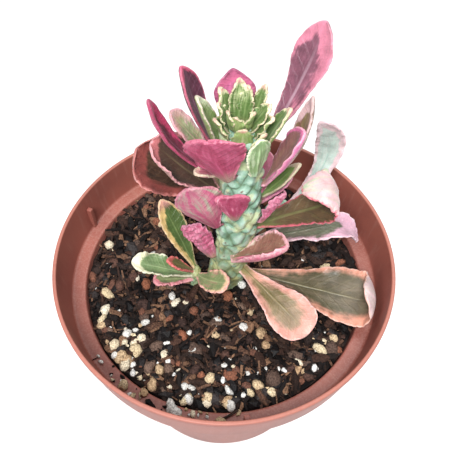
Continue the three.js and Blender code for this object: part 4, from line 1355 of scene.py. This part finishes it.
@dataclass
class NurseryPot:
    """The round plastic pot."""

    height: float = 105.0
    lip_radius: float = 65.0
    lip_width: float = 1.4
    lip_height: float = 2.6
    collar_depth: float = 17.5
    collar_foot: float = 61.5
    ledge_radius: float = 56.1
    wall: float = 1.7
    base_radius: float = 46.0
    foot_width: float = 2.6
    floor_under: float = 2.6
    floor_top: float = 4.6
    ribs: tuple[float, ...] = (38.0, 158.0, 278.0)
    rib_size: tuple[float, float, float] = (1.1, 2.0, 12.0)
    rib_sunk: float = 0.5
    rib_edge: float = 0.4
    drains: int = 6
    drain_radius: float = 4.0
    drain_circle: float = 31.0
    around: int = 192
    corner_steps: int = 6

    @property
    def ledge(self) -> float:
        """Height of the ledge inside."""
        return self.height - self.collar_depth

    def rounded(self, corners: list[tuple[float, float, float]]) -> list[tuple[float, float]]:
        """Round the corners of a profile.

        Args:
            corners: Radius, height and rounding of each corner.

        Returns:
            The rounded profile.
        """
        profile = []
        for k, (r, z, rounding) in enumerate(corners):
            here = np.array([r, z])
            if rounding <= 0:
                profile.append((r, z))
                continue
            ends = []
            for other in (corners[k - 1], corners[k + 1]):
                way = np.array(other[:2]) - here
                size = np.linalg.norm(way)
                ends.append(here + way / size * min(rounding, size * 0.45))
            for share in np.linspace(0, 1, self.corner_steps):
                spot = (1 - share) ** 2 * ends[0] + 2 * share * (1 - share) * here + share**2 * ends[1]
                profile.append((float(spot[0]), float(spot[1])))
        return profile

    def shell(self, finish: bpy.types.Material) -> bpy.types.Object:
        """Turn the wall, without its ribs and holes.

        Args:
            finish: The plastic.

        Returns:
            The wall, from the underside out, up, in and down to the floor.
        """
        inner_foot = self.base_radius - self.foot_width
        shoulder = self.ledge - self.wall
        corners = [
            (0, self.floor_under, 0),
            (inner_foot - 1, self.floor_under, 0.6),
            (inner_foot, 0, 0.3),
            (self.base_radius, 0, 0.8),
            (self.ledge_radius + self.wall, shoulder, 0.6),
            (self.collar_foot + self.wall, shoulder, 0.9),
            (self.lip_radius - 0.35, self.height - self.lip_height - 0.6, 0.3),
            (self.lip_radius, self.height - self.lip_height, 0.3),
            (self.lip_radius, self.height, 0.6),
            (self.lip_radius - self.lip_width, self.height, 0.6),
            (self.collar_foot, self.ledge, 1.3),
            (self.ledge_radius, self.ledge, 0.9),
            (self.base_radius - self.wall, self.floor_top, 1.5),
            (0, self.floor_top, 0),
        ]
        profile = self.rounded(corners)
        turns = np.linspace(0, TURN, self.around, endpoint=False)
        rings = [ring(r, z, turns) for r, z in profile[1:-1]]
        foot, head = (np.array([0, 0, profile[end][1]]) for end in (0, -1))
        points, faces = closed_stack(foot, rings, head)
        return piece_from("pot_shell", points, faces, finish)

    def tool(self, name: str, shape: bmesh.types.BMesh, move: Matrix) -> bpy.types.Object:
        """Put a plain closed body at its place.

        Args:
            name: Its name.
            shape: The body in millimetres.
            move: Its place.

        Returns:
            The body.
        """
        mesh = bpy.data.meshes.new(name)
        bmesh.ops.transform(shape, matrix=Matrix.Scale(MM, 4) @ move, verts=shape.verts)
        shape.to_mesh(mesh)
        shape.free()
        return hang(name, mesh)

    def rib(self, index: int) -> bpy.types.Object:
        """Make one rib, to be joined to the wall.

        Args:
            index: Which rib.

        Returns:
            The rib.
        """
        deep, wide, tall = self.rib_size
        shape = bmesh.new()
        bmesh.ops.create_cube(shape, size=1.0)
        bmesh.ops.scale(shape, vec=(deep * 2, wide, tall), verts=shape.verts)
        bmesh.ops.bevel(
            shape, geom=shape.edges[:], offset=self.rib_edge, segments=3, affect="EDGES", profile=0.5
        )
        spot = (self.collar_foot, 0, self.ledge + tall / 2 - self.rib_sunk)
        turn = Matrix.Rotation(math.radians(self.ribs[index]), 4, "Z")
        return self.tool(f"rib_{index}", shape, turn @ Matrix.Translation(spot))

    def drain(self, index: int) -> bpy.types.Object:
        """Make one drain hole's plug, to be cut from the floor.

        Args:
            index: Which hole.

        Returns:
            The plug.
        """
        azimuth = index * 2 * math.pi / self.drains
        shape = bmesh.new()
        bmesh.ops.create_cone(
            shape, cap_ends=True, segments=40, radius1=self.drain_radius, radius2=self.drain_radius,
            depth=self.floor_top + 4,
        )
        x, y = self.drain_circle * math.cos(azimuth), self.drain_circle * math.sin(azimuth)
        return self.tool(f"drain_{index}", shape, Matrix.Translation((x, y, self.floor_top / 2)))

    def build(self, finish: bpy.types.Material) -> bpy.types.Object:
        """Make the whole pot.

        Args:
            finish: The plastic.

        Returns:
            The pot.
        """
        shell = self.shell(finish)
        jobs = [(self.rib(k), "UNION") for k in range(len(self.ribs))]
        jobs += [(self.drain(k), "DIFFERENCE") for k in range(self.drains)]
        for tool, operation in jobs:
            cut = shell.modifiers.new(tool.name, "BOOLEAN")
            cut.object = tool
            cut.operation = operation
            cut.solver = "EXACT"
        mesh = bpy.data.meshes.new_from_object(shell.evaluated_get(bpy.context.evaluated_depsgraph_get()))
        for spent in (*(tool for tool, _ in jobs), shell):
            bpy.data.objects.remove(spent)
        pot = hang("pot_body", mesh)
        mesh.shade_smooth()
        self.mark_lip_and_ledge(mesh)
        mesh.set_sharp_from_angle(angle=math.radians(42))
        declare(pot, "pot", "pot")
        return pot

    def mark_lip_and_ledge(self, mesh: bpy.types.Mesh) -> None:
        """Say where the lip and the ledge are, for the finish to read.

        Args:
            mesh: The pot's mesh.
        """
        spots = np.empty(len(mesh.vertices) * 3)
        mesh.vertices.foreach_get("co", spots)
        spots = spots.reshape(-1, 3) / MM
        radius = np.hypot(spots[:, 0], spots[:, 1])
        # the top of the lip, where the finish paints a highlight
        lip = smooth(spots[:, 2], self.height - 0.7, self.height - 0.1)
        level = np.abs(spots[:, 2] - self.ledge) < 1.2
        shelf = level & (radius < self.collar_foot) & (radius > self.ledge_radius - 1)
        carry(mesh, "wear", np.stack([lip, shelf.astype(float), 0 * lip], -1))


# ------------------------------------------------------------------------------ soil and grit


class GritShape(Enum):
    """The blank that a kind of grit is broken from."""

    PEBBLE = "rounded"
    CHIP = "faceted"
    SLIVER = "splintered"


class Sowing(Enum):
    """Where a kind of grit is sown, by the field's attribute of that name."""

    EVEN = "full"
    FRONT = "front"


@dataclass(frozen=True)
class Grit:
    """One kind of grit that lies on the soil."""

    name: str
    shape: GritShape
    per_cm2: float
    size_mm: tuple[float, float]
    stretch: tuple[float, float, float]
    tilt: float
    broken_mm: float
    lift: float
    sowing: Sowing
    finish: GritFinish
    seed: int


@dataclass
class Potting:
    """The soil, and the field over it that grit is sown on."""

    level: float = 86.0
    rim: float = 55.3
    floor: float = 4.9
    floor_radius: float = 44.0
    rings: int = 84
    around: int = 168
    sunk: float = 0.8
    ledge: float = 87.5
    ledge_radii: tuple[float, float] = (56.6, 61.2)
    spill: tuple[float, float] = (214.0, 288.0)
    spill_steps: int = 40
    field_rings: int = 28
    field_around: int = 120
    field_from: float = 2.0
    field_edge: float = 1.4
    # middle and radius of the ground kept clear round the stem and the shoot
    clear: tuple[tuple[float, float, float], ...] = ((0.5, 0.0, 8.6), (-12.0, -3.0, 3.2))

    def height(self, x: np.ndarray, y: np.ndarray) -> np.ndarray:
        """Height of the soil's surface."""
        broad = np.sin(x * 0.13 + 1) * np.cos(y * 0.17) + 0.5 * np.sin(x * 0.31 - y * 0.23)
        return self.level + 0.7 * broad

    def bed(self, finish: bpy.types.Material) -> bpy.types.Object:
        """Make the dark crumbly bed under the grit.

        Args:
            finish: The soil's finish.

        Returns:
            The bed.
        """
        turns = np.linspace(0, TURN, self.around, endpoint=False)
        rings = [ring(self.floor_radius, self.floor, turns), ring(self.rim, self.level - 2.0, turns)]
        for k in range(self.rings):
            x, y, _ = ring(self.rim * (1 - k / self.rings), 0, turns).T
            rough = 0.55 * ripple(3, x / 4.2, y / 4.2, waves=12) + 0.4 * ripple(4, x / 1.7, y / 1.7, waves=14)
            rings.append(np.stack([x, y, self.height(x, y) - self.sunk + rough], -1))
        foot, head = np.array([0, 0, self.floor]), np.array([0, 0, self.level])
        points, faces = closed_stack(foot, rings, head)
        tone = 0.5 + 0.5 * np.clip(ripple(8, points[:, 0] / 3, points[:, 1] / 3), -1, 1)
        piece = piece_from("soil_bed", points, faces, finish, {"tone": tone})
        declare(piece, "soil", "soil")
        return piece

    def field(self) -> bpy.types.Object:
        """Lay out the surface that grit is sown on: the soil's top and a stretch of the pot's ledge.

        Returns:
            The field, which carries the share of a full sowing for each way of sowing.
        """
        points, faces, full, front = [], [], [], []
        n = self.field_around
        turns = np.linspace(0, TURN, n + 1)[:-1]
        reach = self.rim - self.field_edge - self.field_from
        for i in range(self.field_rings):
            r = self.field_from + reach * i / (self.field_rings - 1)
            for turn in turns:
                x, y = r * math.cos(turn), r * math.sin(turn)
                points.append((x, y, float(self.height(x, y)) - 0.5))
                free = all(math.hypot(x - left, y - near) > radius for left, near, radius in self.clear)
                in_front = smooth(-y, -20.0, 42.0)
                at_edge = smooth(r, 38.0, 54.0) * smooth(-y - 0.4 * x, 14.0, 46.0)
                full.append(float(free))
                front.append(float(0.1 + 0.52 * in_front + 1.4 * at_edge) if free else 0.0)
        for i in range(self.field_rings - 1):
            for k in range(n):
                a, b = i * n + k, i * n + (k + 1) % n
                faces.append((a, a + n, b + n, b))
        start = len(points)
        for k, turn in enumerate(np.radians(np.linspace(*self.spill, self.spill_steps))):
            for r, thinning in zip(self.ledge_radii, (1.0, 0.6)):
                points.append((r * math.cos(turn), r * math.sin(turn), self.ledge))
                share = math.sin(math.pi * k / (self.spill_steps - 1)) * thinning
                full.append(0.03 * share)
                front.append(2.4 * share)
            if k:
                a = start + 2 * k
                faces.append((a - 2, a - 1, a + 1, a))
        mesh = bpy.data.meshes.new("sowing_field")
        mesh.from_pydata((np.array(points) * MM).tolist(), [], faces)
        carry(mesh, Sowing.EVEN.value, np.array(full))
        carry(mesh, Sowing.FRONT.value, np.array(front))
        return hang("sowing_field", mesh)


class GritTree:
    """The node tree that sows one kind of grit over a surface."""

    INPUTS = {
        "Density": "Float", "Smallest": "Float", "Largest": "Float", "Stretch": "Vector", "Tilt": "Float",
        "Broken": "Float", "Lift": "Float", "Seed": "Int", "Finish": "Material",
    }
    NOISE_PER_METRE = 620.0

    def __init__(self, grit: Grit) -> None:
        """Build the tree.

        Args:
            grit: The kind of grit.
        """
        self.grit = grit
        self.tree = bpy.data.node_groups.new(f"sow_{grit.name}", "GeometryNodeTree")
        self.sockets: dict[str, str] = {}
        face = self.tree.interface
        for way in ("OUTPUT", "INPUT"):
            face.new_socket("Geometry", in_out=way, socket_type="NodeSocketGeometry")
        for name, kind in self.INPUTS.items():
            socket = face.new_socket(name, in_out="INPUT", socket_type=f"NodeSocket{kind}")
            self.sockets[name] = socket.identifier
        self.given = self.node("NodeGroupInput").outputs
        self.write()

    def node(self, kind: str, settings: dict | None = None, inputs: dict | None = None) -> bpy.types.Node:
        """Add one node.

        Args:
            kind: The node's type.
            settings: Its properties.
            inputs: Values or output sockets by the input's name or index.

        Returns:
            The node.
        """
        made = self.tree.nodes.new(kind)
        for name, value in (settings or {}).items():
            setattr(made, name, value)
        for name, value in (inputs or {}).items():
            if isinstance(value, bpy.types.NodeSocket):
                self.tree.links.new(value, made.inputs[name])
            else:
                made.inputs[name].default_value = value
        return made

    def maths(self, operation: str, first: object, second: object) -> bpy.types.NodeSocket:
        """Add a Math node."""
        return self.node("ShaderNodeMath", {"operation": operation}, {0: first, 1: second}).outputs[0]

    def vectors(self, operation: str, inputs: dict) -> bpy.types.NodeSocket:
        """Add a Vector Math node."""
        return self.node("ShaderNodeVectorMath", {"operation": operation}, inputs).outputs[0]

    def joined(self, *parts: object) -> bpy.types.NodeSocket:
        """Join numbers to a vector."""
        return self.node("ShaderNodeCombineXYZ", None, dict(enumerate(parts))).outputs[0]

    def chance(self, low: object, high: object, draw: int) -> bpy.types.NodeSocket:
        """A random number for each crumb, its own for each draw."""
        inputs = {2: low, 3: high, "Seed": self.maths("ADD", self.given["Seed"], draw)}
        return self.node("FunctionNodeRandomValue", {"data_type": "FLOAT"}, inputs).outputs[1]

    def blank(self) -> bpy.types.NodeSocket:
        """The shape that each crumb starts from.

        Returns:
            The blank, one unit across.
        """
        kind, inputs = {
            GritShape.PEBBLE: ("UVSphere", {"Radius": 0.5, "Segments": 8, "Rings": 5}),
            GritShape.CHIP: ("IcoSphere", {"Radius": 0.5, "Subdivisions": 1}),
            GritShape.SLIVER: (
                "Cube", {"Size": (1.0, 1.0, 1.0), "Vertices X": 4, "Vertices Y": 2, "Vertices Z": 2}
            ),
        }[self.grit.shape]
        return self.node(f"GeometryNodeMesh{kind}", None, inputs).outputs["Mesh"]

    def write(self) -> None:
        """Lay out the nodes from the sown surface to the realised, finished grit."""
        given = self.given
        factor = self.node(
            "GeometryNodeInputNamedAttribute", {"data_type": "FLOAT"}, {"Name": self.grit.sowing.value}
        ).outputs[0]
        spots = self.node(
            "GeometryNodeDistributePointsOnFaces", {"distribute_method": "RANDOM"},
            {
                "Mesh": given["Geometry"], "Density": self.maths("MULTIPLY", given["Density"], factor),
                "Seed": given["Seed"],
            },
        ).outputs["Points"]

        # few crumbs are large: the draw is squared
        skewed = self.maths("POWER", self.chance(0.0, 1.0, 11), 2.0)
        span = self.maths("SUBTRACT", given["Largest"], given["Smallest"])
        size = self.maths("ADD", self.maths("MULTIPLY", skewed, span), given["Smallest"])
        stretch = self.node("ShaderNodeSeparateXYZ", None, {0: given["Stretch"]}).outputs
        parts = [self.maths("MULTIPLY", stretch[k], self.chance(0.7, 1.3, 21 + k)) for k in range(3)]
        scale = self.vectors("SCALE", {0: self.joined(*parts), "Scale": size})
        back = self.maths("MULTIPLY", given["Tilt"], -1.0)
        tilts = [self.chance(back, given["Tilt"], draw) for draw in (31, 32)]
        turn = self.joined(*tilts, self.chance(0.0, 2 * math.pi, 33))
        rise = self.joined(0.0, 0.0, self.maths("MULTIPLY", size, given["Lift"]))
        lifted = self.node("GeometryNodeSetPosition", None, {"Geometry": spots, "Offset": rise})
        crumbs = self.node(
            "GeometryNodeInstanceOnPoints", None,
            {"Points": lifted.outputs[0], "Instance": self.blank(), "Rotation": turn, "Scale": scale},
        )
        tone = self.node(
            "GeometryNodeStoreNamedAttribute", {"data_type": "FLOAT", "domain": "INSTANCE"},
            {"Geometry": crumbs.outputs[0], "Name": "tone", "Value": self.chance(0.0, 1.0, 41)},
        )
        real = self.node("GeometryNodeRealizeInstances", None, {0: tone.outputs[0]})

        # a noise through the whole bed breaks the blanks' outlines
        where = self.node("GeometryNodeInputPosition").outputs[0]
        inputs = {"Vector": where, "Scale": self.NOISE_PER_METRE, "Detail": 2.0}
        cloud = self.node("ShaderNodeTexNoise", {"noise_dimensions": "3D"}, inputs).outputs["Color"]
        centred = self.vectors("SUBTRACT", {0: cloud, 1: (0.5, 0.5, 0.5)})
        push = self.vectors("SCALE", {0: centred, "Scale": given["Broken"]})
        broken = self.node("GeometryNodeSetPosition", None, {"Geometry": real.outputs[0], "Offset": push})
        rounded = self.node(
            "GeometryNodeSetShadeSmooth", None,
            {"Geometry": broken.outputs[0], "Shade Smooth": self.grit.shape is GritShape.PEBBLE},
        )
        finished = self.node(
            "GeometryNodeSetMaterial", None, {"Geometry": rounded.outputs[0], "Material": given["Finish"]}
        )
        self.node("NodeGroupOutput", None, {0: finished.outputs[0]})


WOOD_DARK = GritFinish("bark_dark", (srgb(16, 12, 12), srgb(30, 23, 21), srgb(66, 48, 40)), 0.75)
WOOD_PALE = GritFinish("bark_brown", (srgb(40, 28, 24), srgb(78, 54, 44), srgb(140, 106, 82)), 0.8)
CHARCOAL = GritFinish("charcoal", (srgb(14, 12, 13), srgb(26, 23, 24), srgb(60, 54, 53)), 0.5)
LAVA = GritFinish("lava", (srgb(66, 50, 46), srgb(100, 72, 62), srgb(154, 98, 74)), 0.9, 0.4)
PUMICE = GritFinish("pumice", (srgb(190, 154, 118), srgb(230, 210, 172), srgb(244, 234, 212)), 0.9, 0.4)
PERLITE = GritFinish("perlite", (srgb(214, 212, 206), srgb(240, 238, 231), srgb(250, 249, 245)), 0.8, 0.35)
CHUNKS = GritFinish("chunks", (srgb(44, 34, 32), srgb(88, 70, 62), srgb(128, 104, 90)), 0.85, 0.5)
CRUMBS = GritFinish("crumbs", (srgb(12, 9, 9), srgb(26, 20, 19), srgb(66, 48, 40)), 0.85)

GRITS: tuple[Grit, ...] = (
    Grit("soil_crumbs", GritShape.CHIP, 104.0, (0.5, 1.7), (1.4, 1.0, 0.8), 1.2, 0.8, 0.1, Sowing.EVEN,
         CRUMBS, 101),
    Grit("charcoal_chips", GritShape.CHIP, 7.0, (1.4, 5.6), (1.4, 0.9, 0.6), 0.5, 1.7, 0.1, Sowing.EVEN,
         CHARCOAL, 202),
    Grit("dark_bark", GritShape.CHIP, 24.0, (1.4, 6.0), (1.8, 0.5, 0.3), 0.6, 1.4, 0.14, Sowing.EVEN,
         WOOD_DARK, 303),
    Grit("brown_bark", GritShape.CHIP, 7.0, (1.4, 6.2), (1.5, 0.6, 0.34), 0.5, 1.1, 0.2, Sowing.EVEN,
         WOOD_PALE, 404),
    Grit("bark_fibres", GritShape.SLIVER, 14.0, (1.8, 7.5), (1.3, 0.12, 0.09), 0.4, 0.8, 0.12, Sowing.EVEN,
         WOOD_PALE, 808),
    Grit("bark_chunks", GritShape.PEBBLE, 0.8, (3.2, 6.6), (1.3, 1.0, 0.55), 0.5, 3.4, 0.2, Sowing.EVEN,
         CHUNKS, 909),
    Grit("lava_bits", GritShape.PEBBLE, 2.2, (1.6, 5.0), (1.2, 1.0, 0.75), 0.6, 1.7, 0.22, Sowing.EVEN,
         LAVA, 505),
    Grit("pumice_bits", GritShape.PEBBLE, 4.2, (1.1, 4.6), (1.2, 1.0, 0.75), 0.6, 2.2, 0.3, Sowing.FRONT,
         PUMICE, 606),
    Grit("perlite_bits", GritShape.PEBBLE, 2.8, (0.9, 3.8), (1.15, 1.0, 0.8), 0.6, 1.7, 0.3, Sowing.FRONT,
         PERLITE, 707),
)


def sow(grit: Grit, ground: bpy.types.Object) -> bpy.types.Object:
    """Scatter one kind of grit.

    Args:
        grit: The kind.
        ground: The surface to sow on.

    Returns:
        The grit, as one piece.
    """
    tree = GritTree(grit)
    carrier = hang(f"{grit.name}_carrier", ground.data.copy())
    modifier = carrier.modifiers.new("sow", "NODES")
    modifier.node_group = tree.tree
    settings = {
        "Density": grit.per_cm2 * 1e4,
        "Smallest": grit.size_mm[0] * MM,
        "Largest": grit.size_mm[1] * MM,
        "Stretch": grit.stretch,
        "Tilt": grit.tilt,
        "Broken": grit.broken_mm * MM,
        "Lift": grit.lift,
        "Seed": grit.seed,
        "Finish": grit.finish.dress(),
    }
    for name, value in settings.items():
        modifier[tree.sockets[name]] = value
    carrier.data.update()
    shown = carrier.evaluated_get(bpy.context.evaluated_depsgraph_get())
    mesh = bpy.data.meshes.new_from_object(shown)
    bpy.data.objects.remove(carrier)
    mesh.name = grit.name
    made = hang(grit.name, mesh)
    declare(made, "soil")
    return made


# ------------------------------------------------------------------------------ studio


@dataclass(frozen=True)
class Softbox:
    """A round soft light, in metres and watts."""

    name: str
    place: tuple[float, float, float]
    size: float
    watts: float


@dataclass
class Studio:
    """Pale floor, soft lights and the camera."""

    lens_mm: float = 41.6
    sensor_mm: float = 36.0
    eye: tuple[float, float, float] = (0.0, -109.1, 272.9)
    target: tuple[float, float, float] = (0.0, 12.0, 105.0)
    roll_deg: float = 1.2
    nearest: float = 0.01
    floor_colour: Colour = (0.86, 0.86, 0.86)
    floor_reach: float = 3.0
    air: float = 0.42
    lit: tuple[float, float, float] = (0.0, 0.0, 0.11)
    lights: tuple[Softbox, ...] = (
        Softbox("key", (-0.12, -0.48, 0.85), 0.36, 11.5),
        Softbox("top", (0.2, 0.35, 1.0), 0.6, 4.5),
    )

    def floor(self) -> None:
        """Lay the floor."""
        mesh = bpy.data.meshes.new("studio_floor")
        far = self.floor_reach
        mesh.from_pydata([(-far, -far, 0), (far, -far, 0), (far, far, 0), (-far, far, 0)], [], [(0, 1, 2, 3)])
        book = ShaderBook("studio_paper")
        mesh.materials.append(book.surface({"Base Color": self.floor_colour, "Roughness": 0.9}))
        made = hang("studio_floor", mesh)

    def light(self, box: Softbox) -> None:
        """Hang one softbox that looks at the plant.

        Args:
            box: The softbox.
        """
        data = bpy.data.lights.new(box.name, "AREA")
        data.shape = "DISK"
        data.size = box.size
        data.energy = box.watts
        made = hang(box.name, data)
        made.location = box.place
        aim = Vector(self.lit) - Vector(box.place)
        made.rotation_euler = aim.to_track_quat("-Z", "Y").to_euler()

    def camera(self) -> None:
        """Set up the camera."""
        data = bpy.data.cameras.new("camera")
        data.lens = self.lens_mm
        data.sensor_width = self.sensor_mm
        data.clip_start = self.nearest
        made = hang("camera", data)
        eye = Vector(self.eye) * MM
        aim = Vector(self.target) * MM - eye
        look = aim.to_track_quat("-Z", "Y").to_matrix()
        turn = look @ Matrix.Rotation(math.radians(self.roll_deg), 3, "Z")
        made.matrix_world = Matrix.Translation(eye) @ turn.to_4x4()
        bpy.context.scene.camera = made

    def build(self) -> None:
        """Make the whole studio."""
        scene = bpy.context.scene
        scene.view_settings.view_transform = "Standard"
        world = bpy.data.worlds.new("studio_air")
        world.use_nodes = True
        air = world.node_tree.nodes["Background"].inputs
        air["Color"].default_value = (1.0, 1.0, 1.0, 1.0)
        air["Strength"].default_value = self.air
        scene.world = world
        self.floor()
        for box in self.lights:
            self.light(box)
        self.camera()


def main() -> None:
    """Build the plant, its pot and the studio, and report each piece."""
    logging.basicConfig(level=logging.INFO, format="%(message)s")
    skin = StemFinish().dress()
    stem = UprightStem()
    shoot = SideShoot()
    declare(stem.build(skin), "stem", "stem")
    declare(shoot.build(skin), "stem", "side_shoot")
    Foliage(stem, shoot).build()
    Rosette(stem).build()
    NurseryPot().build(PotFinish().dress())
    potting = Potting()
    potting.bed(CRUMBS.dress())
    ground = potting.field()
    for grit in GRITS:
        sow(grit, ground)
    bpy.data.objects.remove(ground)
    Studio().build()


if __name__ == "__main__":
    main()
